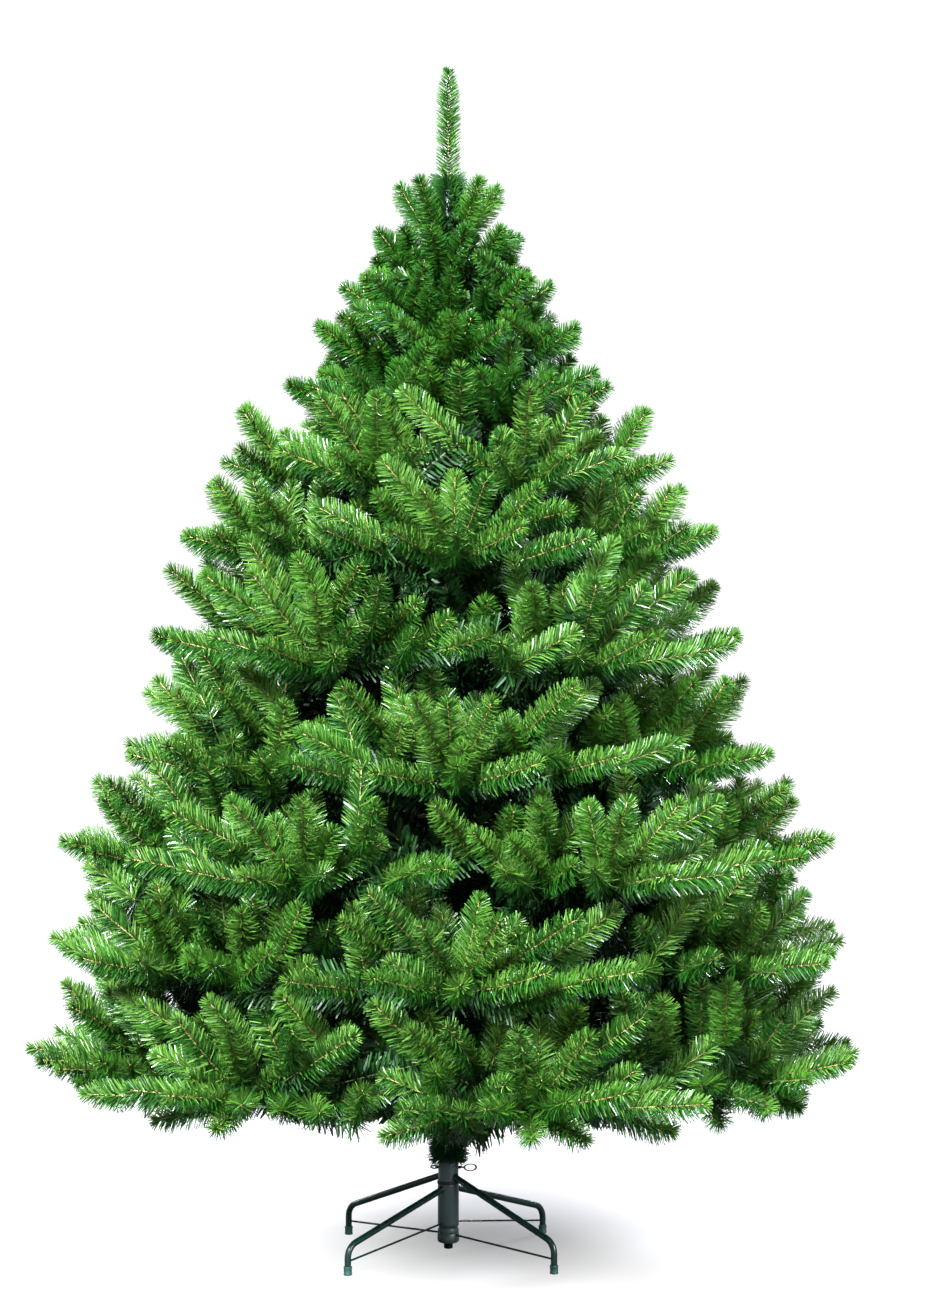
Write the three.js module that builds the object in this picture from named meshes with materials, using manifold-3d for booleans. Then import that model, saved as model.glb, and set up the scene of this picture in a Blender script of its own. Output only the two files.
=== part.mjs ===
// Artificial spruce tree: a sectional steel pole on a folding four-legged stand, tiers of
// wired boughs that carry bottle-brush sprays of needles, and one upright spray as its leader.
// Millimetres, +Z up. The origin is on the floor, under the middle of the pole.
import * as THREE from "three";
import { mergeVertices } from "three/addons/utils/BufferGeometryUtils.js";
import Module from "manifold-3d";

const wasm = await Module();
wasm.setup();

// ---------------------------------------------------------------- driving dimensions

const TREE_HEIGHT = 2100;
const CLEAR = 0.3; // gap between pieces that touch

// The stand's socket: a nut under it, a chamfered cup, three bands each with its top, and a bore.
const SOCKET = {
  sides: 14,
  nut: { radius: 8, bottom: 10, flare: 2 },
  bottom: 20,
  chamfer: { run: 3, rise: 4 },
  lower: { radius: 19.5, top: 47 },
  middle: { radius: 18.6, top: 127 },
  upper: { radius: 17.9, top: 163 },
  boreFloor: 30,
  boreRadius: 16.6,
};

// The pole is three tubes, each narrower than the one below, with a hinge collar at each tier.
const POLE = {
  foot: SOCKET.boreFloor + CLEAR,
  sides: 8,
  sections: [
    { top: 850, radius: 16 },
    { top: 1400, radius: 14 },
    { top: 1880, radius: 11 },
  ],
  collar: { radius: 23, height: 14 },
};

// Opposite legs are a pair, and the two pairs are fixed to the socket at different heights.
const LEG = { count: 4, first: 45, radius: 5.6, sides: 8, spread: 250, bendRadius: 26, steps: 7 };
const LEG_PAIRS = [
  { fixedAt: 120, shoulder: 48, strutAtSocket: 55, strutAtLeg: 24 },
  { fixedAt: 143, shoulder: 52, strutAtSocket: 35, strutAtLeg: 25 },
];
const STRUT = { radius: 1.6, sides: 6 };

// Two eye bolts through the socket's rim clamp the pole: azimuth, and how far their loop stands off.
const EYE_BOLT = { height: 153, shankRadius: 2.8, wireRadius: 1.6, loopRadius: 7.5, sides: 6 };
const EYE_BOLTS = [
  { azimuth: 176, reach: 22 },
  { azimuth: -8, reach: 30 },
];

const FOOT = { radius: 7.4, rimRadius: 6.8, boreRadius: 6.2, height: 15, sole: 3, sides: 8 };

// Each layer of the crown: where its boughs leave the pole, how far they reach, how they slope
// (rise over run), how many share its circle evenly from the first azimuth, and how long and
// thick their sprays are. The tiers' boughs are hinged to the pole, one by one.
const TIERS = [
  { height: 265, reach: 750, slope: 0.14, count: 7, first: 180, spray: 200, girth: 45 },
  { height: 440, reach: 728, slope: 0.16, count: 6, first: 210, spray: 198, girth: 45 },
  { height: 596, reach: 695, slope: 0.18, count: 6, first: 180, spray: 195, girth: 45 },
  { height: 765, reach: 590, slope: 0.21, count: 5, first: 198, spray: 190, girth: 45 },
  { height: 950, reach: 550, slope: 0.24, count: 5, first: 162, spray: 185, girth: 45 },
];

// The whorls above them are short boughs wired to a ring, and each ring slips onto the pole.
const WHORLS = [
  { height: 1130, reach: 492, slope: 0.28, count: 5, first: 198, spray: 178, girth: 45 },
  { height: 1262, reach: 408, slope: 0.34, count: 6, first: 180, spray: 160, girth: 43 },
  { height: 1400, reach: 305, slope: 0.45, count: 5, first: 162, spray: 150, girth: 37 },
  { height: 1495, reach: 250, slope: 0.55, count: 5, first: 198, spray: 140, girth: 33 },
  { height: 1585, reach: 196, slope: 0.66, count: 8, first: 180, spray: 130, girth: 31 },
];

// The top piece carries the two last whorls and the leader on a sleeve.
const TOP_WHORLS = [
  { height: 1680, reach: 145, slope: 0.86, count: 6, first: 195, spray: 118, girth: 28 },
  { height: 1765, reach: 110, slope: 1.15, count: 5, first: 162, spray: 112, girth: 26 },
];
const RING = { wall: 5, height: 16 };

const STEM = { rootRadius: 4, tipRadius: 2.4, sides: 4 };
const TWIG = { rootRadius: 2.6, tipRadius: 2 };
const COLLAR_SINK = 4; // how far a tier's stems reach in past their collar's rim

// The lowest boughs are bare steel as far out as this.
const BARE_BOUGH = { reach: 165, rootRadius: 5, tipRadius: 4 };

// The leader's needle skirts, from the notch before each to its edge; the last one is narrower.
const LEADER = { radius: 25, lastRadius: 18, notchRadius: 7, notch: 0.3, teeth: 7, sides: 6, overlap: 2 };

// A spray's two skirts of needle points: how far along it, and how wide, as shares of its size.
const SKIRTS = [
  { edge: 0.36, width: 1 },
  { edge: 0.77, width: 0.82 },
];
const SPRAY_SIDES = 3;
const SKIRT_TURN = Math.PI / 6;

// The tips of a bough's sprays are shared evenly across its sector, in line with its stem and,
// where the layer above leaves room for it, halfway up to that layer.
const TIP_SPACING = 150;
const LOWER_ROW = { inset: 0.02, insetVaries: 0.03, levelVaries: 14 }; // insets are shares of the reach
const UPPER_ROW = { gap: 125, reach: 0.9, reachVaries: 0.03, level: 0.64, levelVaries: 0.1 };
const END_SPRAY = { girth: 0.72, inset: 3 }; // the slimmer spray in line with its stem
const INNER_FILL = { from: 740, reach: 0.68, level: 1 / 3 }; // two more, in layers that reach so far
const OUTER_LIFT = 10; // how much higher than its middle a row's outer tips are
const SKIRT_DROOP = 14; // how much lower they are in the lowest tier
const SIDE_ANGLE = 46; // of a side twig to its stem, seen from above
const RISING_ANGLE = 48; // of a rising twig to its stem, seen from the side
const ROOT_SINK = 2; // how far past the middle of its stem a twig starts
const ROOT_INSET = { start: 8, end: 4 }; // how far inside its stem's two ends a twig starts
const STEM_INSET = 2; // how far short of its end spray's foot a stem stops
const SHORTEST = 0.7; // the least share of its length that a spray may be drawn in to
const DRAW_STEP = 10;
const SLIVER = 1.3; // features smaller than this go when sprays are fused

const SIDE_GAP = 1.5; // between a spray and the edge of its bough's sector
const LAYER_GAP = 2.5; // between a layer's sprays and the cone that the next layer stays above
const HANG = 6; // how much further than its girth a spray may hang below its stem, square to it
const SKIRT_HANG = 20; // the same for the lowest tier, which has no tier below it

// The numbers of the seeded wave that varies the sprays, and where each kind of choice starts in it.
const WAVE = { seed: 12.9898, choice: 78.233, scale: 43758.5453 };
const CHOICE = { lowerLevel: 0, lowerReach: 20, upperLevel: 40, upperReach: 60, turn: 80 };

// ---------------------------------------------------------------- solids

// A closed geometry as a manifold solid.
function solid(geometry) {
  const bare = geometry.index ? geometry.toNonIndexed() : geometry.clone();
  bare.deleteAttribute("normal");
  bare.deleteAttribute("uv");
  const merged = mergeVertices(bare, 1e-3);
  const corners = merged.index.array;
  const kept = [];
  for (let i = 0; i < corners.length; i += 3) {
    const [a, b, c] = corners.slice(i, i + 3);
    if (a !== b && b !== c && c !== a) kept.push(a, b, c);
  }
  return new wasm.Manifold(
    new wasm.Mesh({
      numProp: 3,
      vertProperties: merged.attributes.position.array,
      triVerts: new Uint32Array(kept),
    }),
  );
}

// The geometry of a manifold solid.
function geometryOf(made) {
  const mesh = made.getMesh();
  const geometry = new THREE.BufferGeometry();
  geometry.setAttribute("position", new THREE.BufferAttribute(mesh.vertProperties.slice(), 3));
  geometry.setIndex(new THREE.BufferAttribute(mesh.triVerts.slice(), 1));
  const flat = geometry.toNonIndexed();
  flat.computeVertexNormals();
  return flat;
}

const degrees = THREE.MathUtils.degToRad;
const ALONG = new THREE.Vector3(0, 1, 0); // the axis that three.js turns its round shapes about

// Turns a shape made along +Y to run from a point in a direction.
function place(geometry, from, direction) {
  geometry.applyQuaternion(new THREE.Quaternion().setFromUnitVectors(ALONG, direction));
  return geometry.translate(from.x, from.y, from.z);
}

// A tapering rod between two points.
function rod(from, to, fromRadius, toRadius, sides) {
  const run = to.clone().sub(from);
  const length = run.length();
  const geometry = new THREE.CylinderGeometry(toRadius, fromRadius, length, sides);
  return place(geometry.translate(0, length / 2, 0), from, run.normalize());
}

// A profile of [radius, height] corners turned about the Z axis.
function turned(profile, sides) {
  const corners = profile.map(([radius, height]) => new THREE.Vector2(radius, height));
  return new THREE.LatheGeometry(corners, sides).rotateX(Math.PI / 2);
}

// ---------------------------------------------------------------- pole and stand

const collarHeights = TIERS.map((tier) => tier.height + tier.slope * POLE.collar.radius);

function poleRadiusAt(height) {
  return POLE.sections.find((section) => height <= section.top).radius;
}

// The pole's outline, grown outwards by a gap where a neighbour is cut clear of it.
function poleGeometry(gap = 0) {
  const profile = [[0, POLE.foot - gap]];
  let radius = POLE.sections[0].radius + gap;
  profile.push([radius, POLE.foot - gap]);
  const steps = [
    ...POLE.sections.slice(0, -1).map((section) => ({ height: section.top, kind: "step" })),
    ...collarHeights.map((height) => ({ height, kind: "collar" })),
  ].sort((a, b) => a.height - b.height);
  for (const { height, kind } of steps) {
    if (kind === "step") {
      profile.push([radius, height + gap]);
      radius = poleRadiusAt(height + 1) + gap;
      profile.push([radius, height + gap]);
    } else {
      const half = POLE.collar.height / 2 + gap;
      const wide = POLE.collar.radius + gap;
      profile.push([radius, height - half], [wide, height - half]);
      profile.push([wide, height + half], [radius, height + half]);
    }
  }
  const top = POLE.sections.at(-1).top + gap;
  profile.push([radius, top], [0, top]);
  return turned(profile, POLE.sides);
}

function socketGeometry() {
  const { nut, chamfer, lower, middle, upper } = SOCKET;
  const profile = [
    [0, nut.bottom],
    [nut.radius, nut.bottom],
    [nut.radius + nut.flare, SOCKET.bottom],
    [lower.radius - chamfer.run, SOCKET.bottom],
    [lower.radius, SOCKET.bottom + chamfer.rise],
    [lower.radius, lower.top],
    [middle.radius, lower.top],
    [middle.radius, middle.top],
    [upper.radius, middle.top],
    [upper.radius, upper.top],
    [SOCKET.boreRadius, upper.top],
    [SOCKET.boreRadius, SOCKET.boreFloor],
    [0, SOCKET.boreFloor],
  ];
  return turned(profile, SOCKET.sides);
}

function socketRadiusAt(height) {
  return [SOCKET.lower, SOCKET.middle, SOCKET.upper].find((band) => height <= band.top).radius;
}

// A point at a distance out along an azimuth, at a height.
function outAt(azimuth, distance, height) {
  return new THREE.Vector3(
    distance * Math.cos(degrees(azimuth)),
    distance * Math.sin(degrees(azimuth)),
    height,
  );
}

// A leg slopes out from the socket to its shoulder, bends round and stands upright in its foot.
class LegLine extends THREE.Curve {
  constructor(azimuth, pair) {
    super();
    this.azimuth = azimuth;
    const start = new THREE.Vector2(0, pair.fixedAt);
    const corner = new THREE.Vector2(LEG.spread, pair.shoulder);
    const slope = corner.clone().sub(start).normalize();
    const turn = Math.acos(-slope.y);
    const tangent = LEG.bendRadius * Math.tan(turn / 2);
    this.start = start;
    this.slope = slope;
    this.bendFrom = corner.clone().addScaledVector(slope, -tangent);
    this.centre = new THREE.Vector2(LEG.spread - LEG.bendRadius, pair.shoulder - tangent);
    this.turn = turn;
  }

  // One step for the slope and one for the upright end, with all the others in the bend.
  getPoint(share, target = new THREE.Vector3()) {
    const step = share * LEG.steps;
    const flat = new THREE.Vector2();
    if (step <= 1) {
      flat.lerpVectors(this.start, this.bendFrom, step);
    } else if (step <= LEG.steps - 1) {
      const angle = this.turn * (1 - (step - 1) / (LEG.steps - 2));
      flat.set(Math.cos(angle), Math.sin(angle)).multiplyScalar(LEG.bendRadius).add(this.centre);
    } else {
      const standing = this.centre.y - FOOT.sole - CLEAR;
      flat.set(LEG.spread, this.centre.y - standing * (step - LEG.steps + 1));
    }
    return target.copy(outAt(this.azimuth, flat.x, flat.y));
  }

  // The sweep takes its points at even shares, so that the steps fall as they are laid out above.
  getUtoTmapping(share) {
    return share;
  }
}

function ringShape(radius, sides) {
  const corners = [];
  for (let i = 0; i < sides; i += 1) {
    const angle = (2 * Math.PI * i) / sides;
    corners.push(new THREE.Vector2(radius * Math.cos(angle), radius * Math.sin(angle)));
  }
  return new THREE.Shape(corners);
}

function legSolid(azimuth, pair) {
  const clearRadius = socketRadiusAt(pair.fixedAt) + CLEAR;
  const high = 2 * SOCKET.upper.top;
  const socketSpace = new THREE.CylinderGeometry(clearRadius, clearRadius, high, SOCKET.sides);
  const swept = new THREE.ExtrudeGeometry(ringShape(LEG.radius, LEG.sides), {
    steps: LEG.steps,
    bevelEnabled: false,
    extrudePath: new LegLine(azimuth, pair),
  });
  return solid(swept).subtract(solid(socketSpace.rotateX(Math.PI / 2)));
}

function strutGeometry(azimuth, pair) {
  const fromSocket = outAt(azimuth, socketRadiusAt(pair.strutAtSocket) + CLEAR, pair.strutAtSocket);
  const toLeg = outAt(azimuth, LEG.spread - LEG.radius - CLEAR, pair.strutAtLeg);
  return rod(fromSocket, toLeg, STRUT.radius, STRUT.radius, STRUT.sides);
}

// A shank ends in an upright loop of wire.
function eyeBoltSolid({ azimuth, reach }) {
  const { height, shankRadius, wireRadius, loopRadius, sides } = EYE_BOLT;
  const direction = outAt(azimuth, 1, 0);
  const from = outAt(azimuth, SOCKET.upper.radius + CLEAR, height);
  const loopAt = outAt(azimuth, SOCKET.upper.radius + reach - loopRadius, height);
  const to = loopAt.clone().addScaledVector(direction, -loopRadius);
  const loop = new THREE.TorusGeometry(loopRadius, wireRadius, sides, 2 * sides)
    .rotateX(Math.PI / 2)
    .rotateZ(degrees(azimuth))
    .translate(loopAt.x, loopAt.y, loopAt.z);
  return solid(rod(from, to, shankRadius, wireRadius, sides)).add(solid(loop));
}

function footGeometry(azimuth) {
  const profile = [
    [0, 0],
    [FOOT.radius, 0],
    [FOOT.rimRadius, FOOT.height],
    [FOOT.boreRadius, FOOT.height],
    [FOOT.boreRadius, FOOT.sole],
    [0, FOOT.sole],
  ];
  const at = outAt(azimuth, LEG.spread, 0);
  return turned(profile, FOOT.sides).translate(at.x, at.y, at.z);
}

// ---------------------------------------------------------------- boughs and their sprays

// A repeatable number from -1 to 1 for one choice that a bough makes.
function vary(bough, choice) {
  const wave = Math.sin(bough.seed * WAVE.seed + choice * WAVE.choice) * WAVE.scale;
  return 2 * (wave - Math.floor(wave)) - 1;
}

// The point of a bough's stem at a distance from the pole's middle.
function onStem(bough, distance) {
  return outAt(bough.azimuth, distance, bough.height + distance * bough.slope);
}

// Whether a point keeps to a bough's own space: its sector, its reach and its layer of the crown.
function holds(bough, point) {
  const turnedBy = degrees(bough.azimuth);
  const out = point.x * Math.cos(turnedBy) + point.y * Math.sin(turnedBy);
  const aside = Math.abs(point.y * Math.cos(turnedBy) - point.x * Math.sin(turnedBy));
  const distance = Math.hypot(point.x, point.y);
  return (
    aside <= out * Math.tan(degrees(bough.halfSector)) - SIDE_GAP &&
    distance <= bough.reach &&
    point.z >= bough.floor + distance * bough.slope &&
    point.z <= bough.ceiling + distance * bough.ceilingSlope
  );
}

// Whether a whole spray keeps to its bough's space: its tip, and its widest part on all sides.
function fits(bough, root, direction, { twig, length }) {
  const across = new THREE.Vector3(direction.y, -direction.x, 0).normalize();
  const over = across.clone().cross(direction);
  const widest = root.clone().addScaledVector(direction, twig + length * SKIRTS[0].edge);
  const corners = [root.clone().addScaledVector(direction, twig + length)];
  for (const side of [-1, 1]) {
    corners.push(widest.clone().addScaledVector(across, side * bough.girth));
    corners.push(widest.clone().addScaledVector(over, side * bough.girth));
  }
  return corners.every((corner) => holds(bough, corner));
}

// A spray on its twig, from the stem to a tip at an azimuth off the bough's own and a height
// above its stem's line. A tip that would leave the bough's space is drawn in along its twig.
function addSpray(bough, grown, distance, offset, above, girth = bough.girth) {
  const [sine, cosine] = [Math.sin(degrees(offset)), Math.cos(degrees(offset))];
  const aside = Math.abs(distance * sine) / Math.tan(degrees(SIDE_ANGLE));
  const below = above / Math.tan(degrees(RISING_ANGLE));
  const wanted = Math.max(distance * cosine - Math.hypot(aside, below), bough.start + ROOT_INSET.start);
  const root = onStem(bough, Math.min(wanted, stemEndOf(bough) - ROOT_INSET.end));
  const height = bough.height + distance * bough.slope + above;
  const run = outAt(bough.azimuth + offset, distance, height).sub(root);
  const direction = run.clone().normalize();
  for (let whole = run.length(); whole > bough.spray * SHORTEST; whole -= DRAW_STEP) {
    const length = Math.min(whole, bough.spray);
    const spray = { twig: whole - length, length };
    if (fits(bough, root, direction, spray)) {
      grown.push({ root, direction, ...spray, girth });
      return;
    }
  }
}

// Where a stem stops, so that the spray in line with it ends at the bough's reach.
function stemEndOf(bough) {
  return bough.reach - bough.spray / Math.hypot(1, bough.slope) - STEM_INSET;
}

// All the sprays of one bough, row by row across its sector.
function grow(bough) {
  const grown = [];
  const across = (2 * degrees(bough.halfSector) * bough.reach) / TIP_SPACING;
  const lower = 1 + 2 * Math.max(0, Math.round((across - 1) / 2));
  for (let i = 0; i < lower; i += 1) {
    const share = (2 * i + 1) / lower - 1;
    if (2 * i + 1 === lower) {
      addSpray(bough, grown, bough.reach - END_SPRAY.inset, 0, 0, bough.girth * END_SPRAY.girth);
      continue;
    }
    const level =
      bough.lift * Math.abs(share) + LOWER_ROW.levelVaries * vary(bough, CHOICE.lowerLevel + i);
    const drawnIn = LOWER_ROW.insetVaries * Math.abs(share) * (1 + vary(bough, CHOICE.lowerReach + i));
    const distance = bough.reach * (1 - LOWER_ROW.inset - drawnIn);
    addSpray(bough, grown, distance, share * bough.halfSector, level);
  }
  if (bough.reach > INNER_FILL.from) {
    const distance = bough.reach * INNER_FILL.reach;
    const level = bough.headroom * INNER_FILL.level;
    addSpray(bough, grown, distance, -bough.halfSector / 2, level);
    addSpray(bough, grown, distance, bough.halfSector / 2, level);
  }
  if (bough.headroom < UPPER_ROW.gap || lower < 3) return grown;
  for (let i = 0; i < lower - 1; i += 1) {
    const share = (2 * i + 2) / lower - 1;
    const raised = UPPER_ROW.level + UPPER_ROW.levelVaries * vary(bough, CHOICE.upperLevel + i);
    const out = UPPER_ROW.reach + UPPER_ROW.reachVaries * vary(bough, CHOICE.upperReach + i);
    addSpray(bough, grown, bough.reach * out, share * bough.halfSector, bough.headroom * raised);
  }
  return grown;
}

// A spray is a slim core on its twig, with two skirts of three needle points standing out of it.
function sprayGeometry(spray, turn) {
  const { twig, length, girth } = spray;
  const profile = [[0, -ROOT_SINK], [TWIG.rootRadius, -ROOT_SINK]];
  if (twig > girth) profile.push([TWIG.tipRadius, twig]);
  for (const { edge, width } of SKIRTS) profile.push([width * girth, twig + edge * length]);
  profile.push([0, twig + length]);
  const corners = profile.map(([radius, along]) => new THREE.Vector2(radius, along));
  const geometry = new THREE.LatheGeometry(corners, SPRAY_SIDES);
  const position = geometry.getAttribute("position");
  const betweenSkirts = twig + (length * (SKIRTS[0].edge + SKIRTS[1].edge)) / 2;
  for (let i = 0; i < position.count; i += 1) {
    const angle = turn + (position.getY(i) > betweenSkirts ? SKIRT_TURN : 0);
    const [x, z] = [position.getX(i), position.getZ(i)];
    position.setX(i, x * Math.cos(angle) - z * Math.sin(angle));
    position.setZ(i, x * Math.sin(angle) + z * Math.cos(angle));
  }
  return place(geometry, spray.root, spray.direction);
}

// One bough's stem and sprays, as solids to be fused.
function piecesOf(bough) {
  const [from, to] = [onStem(bough, bough.start), onStem(bough, stemEndOf(bough))];
  const stem = rod(from, to, STEM.rootRadius, STEM.tipRadius, STEM.sides);
  const turnOf = (i) => Math.PI * vary(bough, CHOICE.turn + i);
  const sprays = grow(bough).map((spray, i) => sprayGeometry(spray, turnOf(i)));
  return [stem, ...sprays].map(solid);
}

// Fuses solids clear of the pole, without the slivers, scraps and sealed hollows of their crossings.
function fuse(solids) {
  const fused = wasm.Manifold.union(solids).asOriginal().simplify(SLIVER).subtract(poleSpace);
  return fused.decompose().reduce((a, b) => (b.volume() > a.volume() ? b : a));
}

// ---------------------------------------------------------------- the tree

const LAYERS = [...TIERS, ...WHORLS, ...TOP_WHORLS];

// The height, at the pole's middle, of the cone that a layer's sprays stay above.
function floorOf(index) {
  const { height, slope, girth } = LAYERS[index];
  return height - (girth + (index ? HANG : SKIRT_HANG)) * Math.hypot(1, slope);
}

// The boughs of one layer, each with the space that it keeps to.
function boughsOf(index) {
  const layer = LAYERS[index];
  const next = LAYERS[index + 1];
  const stemHeight = (of) => of.height + of.slope * layer.reach * UPPER_ROW.reach;
  return Array.from({ length: layer.count }, (_, k) => ({
    ...layer,
    azimuth: layer.first + (360 / layer.count) * k,
    halfSector: 180 / layer.count,
    lift: index ? OUTER_LIFT : -SKIRT_DROOP,
    floor: floorOf(index),
    ceiling: next ? floorOf(index + 1) - LAYER_GAP : TREE_HEIGHT,
    ceilingSlope: next ? next.slope : 0,
    headroom: next ? stemHeight(next) - stemHeight(layer) : 0,
    start: index ? POLE.collar.radius - COLLAR_SINK : BARE_BOUGH.reach + CLEAR,
    seed: 10 * index + k + 1,
  }));
}

const COLOURS = {
  needles: { color: 0x2f8a35, roughness: 0.55, metalness: 0 },
  steel: { color: 0x22352f, roughness: 0.4, metalness: 0.3 },
  bough: { color: 0x4d5a34, roughness: 0.6, metalness: 0.1 },
  rubber: { color: 0x2c5b4c, roughness: 0.75, metalness: 0 },
};

const tree = new THREE.Group();

function add(name, geometry, finish) {
  const mesh = new THREE.Mesh(geometry, new THREE.MeshStandardMaterial(COLOURS[finish]));
  mesh.name = name;
  tree.add(mesh);
  return mesh;
}

add("pole", poleGeometry(), "steel");
add("stand_socket", socketGeometry(), "steel");

for (let i = 0; i < LEG.count; i += 1) {
  const azimuth = LEG.first + (360 / LEG.count) * i;
  const pair = LEG_PAIRS[i % LEG_PAIRS.length];
  add(`stand_leg_${i + 1}`, geometryOf(legSolid(azimuth, pair)), "steel");
  add(`stand_strut_${i + 1}`, strutGeometry(azimuth, pair), "steel");
  add(`stand_foot_${i + 1}`, footGeometry(azimuth), "rubber");
}

EYE_BOLTS.forEach((bolt, i) => add(`stand_eye_bolt_${i + 1}`, geometryOf(eyeBoltSolid(bolt)), "steel"));

const poleSpace = solid(poleGeometry(CLEAR));

TIERS.forEach((tier, index) => {
  boughsOf(index).forEach((bough, k) => {
    if (index === 0) {
      const from = onStem(bough, POLE.collar.radius - COLLAR_SINK);
      const to = onStem(bough, BARE_BOUGH.reach);
      const limb = rod(from, to, BARE_BOUGH.rootRadius, BARE_BOUGH.tipRadius, STEM.sides);
      add(`bough_${k + 1}`, geometryOf(solid(limb).subtract(poleSpace)), "bough");
    }
    add(`foliage_tier_${index + 1}_${k + 1}`, geometryOf(fuse(piecesOf(bough))), "needles");
  });
});

// A whorl's short boughs leave a ring round the pole.
function whorlPieces(index) {
  const layer = LAYERS[index];
  const bore = poleRadiusAt(layer.height) + CLEAR;
  const outer = bore + RING.wall;
  const middle = layer.height + layer.slope * (bore + RING.wall / 2);
  const [low, high] = [middle - RING.height / 2, middle + RING.height / 2];
  const ring = turned([[bore, low], [outer, low], [outer, high], [bore, high], [bore, low]], POLE.sides);
  return [solid(ring), ...boughsOf(index).flatMap((bough) => piecesOf({ ...bough, start: bore }))];
}

WHORLS.forEach((_, i) => {
  add(`foliage_whorl_${i + 1}`, geometryOf(fuse(whorlPieces(TIERS.length + i))), "needles");
});

// The leader is an upright spray on the pole's top end, with a skirt of needles for each tooth.
// The sleeve below it slips over the pole.
function leaderGeometry(sleeveBottom) {
  const base = POLE.sections.at(-1).top + CLEAR;
  const rise = TREE_HEIGHT - base;
  const sleeve = poleRadiusAt(base - 1) + RING.wall;
  const profile = [[0, sleeveBottom], [sleeve, sleeveBottom], [sleeve, base + LEADER.overlap]];
  const step = rise / (LEADER.teeth + LEADER.notch);
  for (let i = 0; i < LEADER.teeth; i += 1) {
    const wide = i === LEADER.teeth - 1 ? LEADER.lastRadius : LEADER.radius;
    profile.push([LEADER.notchRadius, base + step * (i + LEADER.notch)], [wide, base + step * (i + 1)]);
  }
  profile.push([0, TREE_HEIGHT]);
  return turned(profile, LEADER.sides);
}

const firstTopWhorl = TIERS.length + WHORLS.length;
const topPieces = TOP_WHORLS.flatMap((_, i) => whorlPieces(firstTopWhorl + i));
const leader = solid(leaderGeometry(TOP_WHORLS[0].height));
add("foliage_top", geometryOf(fuse([leader, ...topPieces])), "needles");

export default tree;
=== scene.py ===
"""An artificial spruce tree on its folding steel stand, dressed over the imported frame.

The crown grows by the same seeded rule as the solids it replaces, and is carried on from their
sprays to finer twigs, brush tips and single needles. Lengths are in metres and angles in degrees.
"""

from __future__ import annotations

import logging
import math
import sys
from collections.abc import Iterator
from dataclasses import dataclass, field
from enum import Enum
from typing import ClassVar

import bpy
import numpy as np
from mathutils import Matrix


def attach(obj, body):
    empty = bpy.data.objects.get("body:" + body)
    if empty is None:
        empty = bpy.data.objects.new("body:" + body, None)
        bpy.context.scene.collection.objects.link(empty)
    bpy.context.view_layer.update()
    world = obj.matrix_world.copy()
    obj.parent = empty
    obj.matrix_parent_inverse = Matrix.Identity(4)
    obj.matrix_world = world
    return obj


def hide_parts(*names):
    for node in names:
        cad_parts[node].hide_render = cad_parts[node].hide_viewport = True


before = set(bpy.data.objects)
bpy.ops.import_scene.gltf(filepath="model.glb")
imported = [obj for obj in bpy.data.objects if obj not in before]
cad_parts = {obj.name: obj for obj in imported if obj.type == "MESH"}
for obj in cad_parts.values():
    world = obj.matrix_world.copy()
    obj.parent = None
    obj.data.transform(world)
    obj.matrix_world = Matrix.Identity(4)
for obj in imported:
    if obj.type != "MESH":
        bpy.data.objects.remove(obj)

LOG = logging.getLogger("spruce")
GOLDEN_ANGLE = math.pi * (3 - math.sqrt(5))
UP = np.array([0.0, 0.0, 1.0])
TINY = 1e-6
Corner = tuple[float, float, float]


def unit(vector: np.ndarray) -> np.ndarray:
    """Return a vector at length one."""
    return vector / np.linalg.norm(vector)


def out_at(azimuth: float, distance: float, height: float) -> np.ndarray:
    """Return the point at a distance out along an azimuth, at a height.

    Args:
        azimuth: direction seen from above, in degrees from +X.
        distance: how far out from the pole's middle.
        height: above the floor.

    Returns:
        The point as an array of three numbers.
    """
    turned = math.radians(azimuth)
    return np.array([distance * math.cos(turned), distance * math.sin(turned), height])


def square_to(direction: np.ndarray) -> tuple[np.ndarray, np.ndarray]:
    """Return two unit vectors square to a direction, the first one level where it can be.

    Args:
        direction: a unit vector.

    Returns:
        The level vector across the direction, and the one over it.
    """
    level = np.cross(direction, UP)
    if np.linalg.norm(level) < TINY:
        level = np.array([1.0, 0.0, 0.0])
    across = unit(level)
    return across, np.cross(across, direction)


# ------------------------------------------------------------------ finishes


class Slot(Enum):
    """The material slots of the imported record."""

    NEEDLES = "needles"
    BOUGH = "bough_paint"
    POLE = "pole_paint"
    STAND = "stand_paint"
    CAP = "foot_cap"


def add_node(
    tree: bpy.types.NodeTree,
    kind: str,
    inputs: dict[str | int, float | tuple] | None = None,
    **settings: str | bpy.types.NodeTree,
) -> bpy.types.Node:
    """Add a shader node.

    Args:
        tree: the node tree that it joins.
        kind: its type, without the prefix that all types share.
        inputs: the plain values of its inputs, by name or by place.
        settings: its other settings, by name.

    Returns:
        The node.
    """
    node = tree.nodes.new(f"ShaderNode{kind}")
    for name, setting in settings.items():
        setattr(node, name, setting)
    for socket, value in (inputs or {}).items():
        node.inputs[socket].default_value = value
    return node


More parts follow.
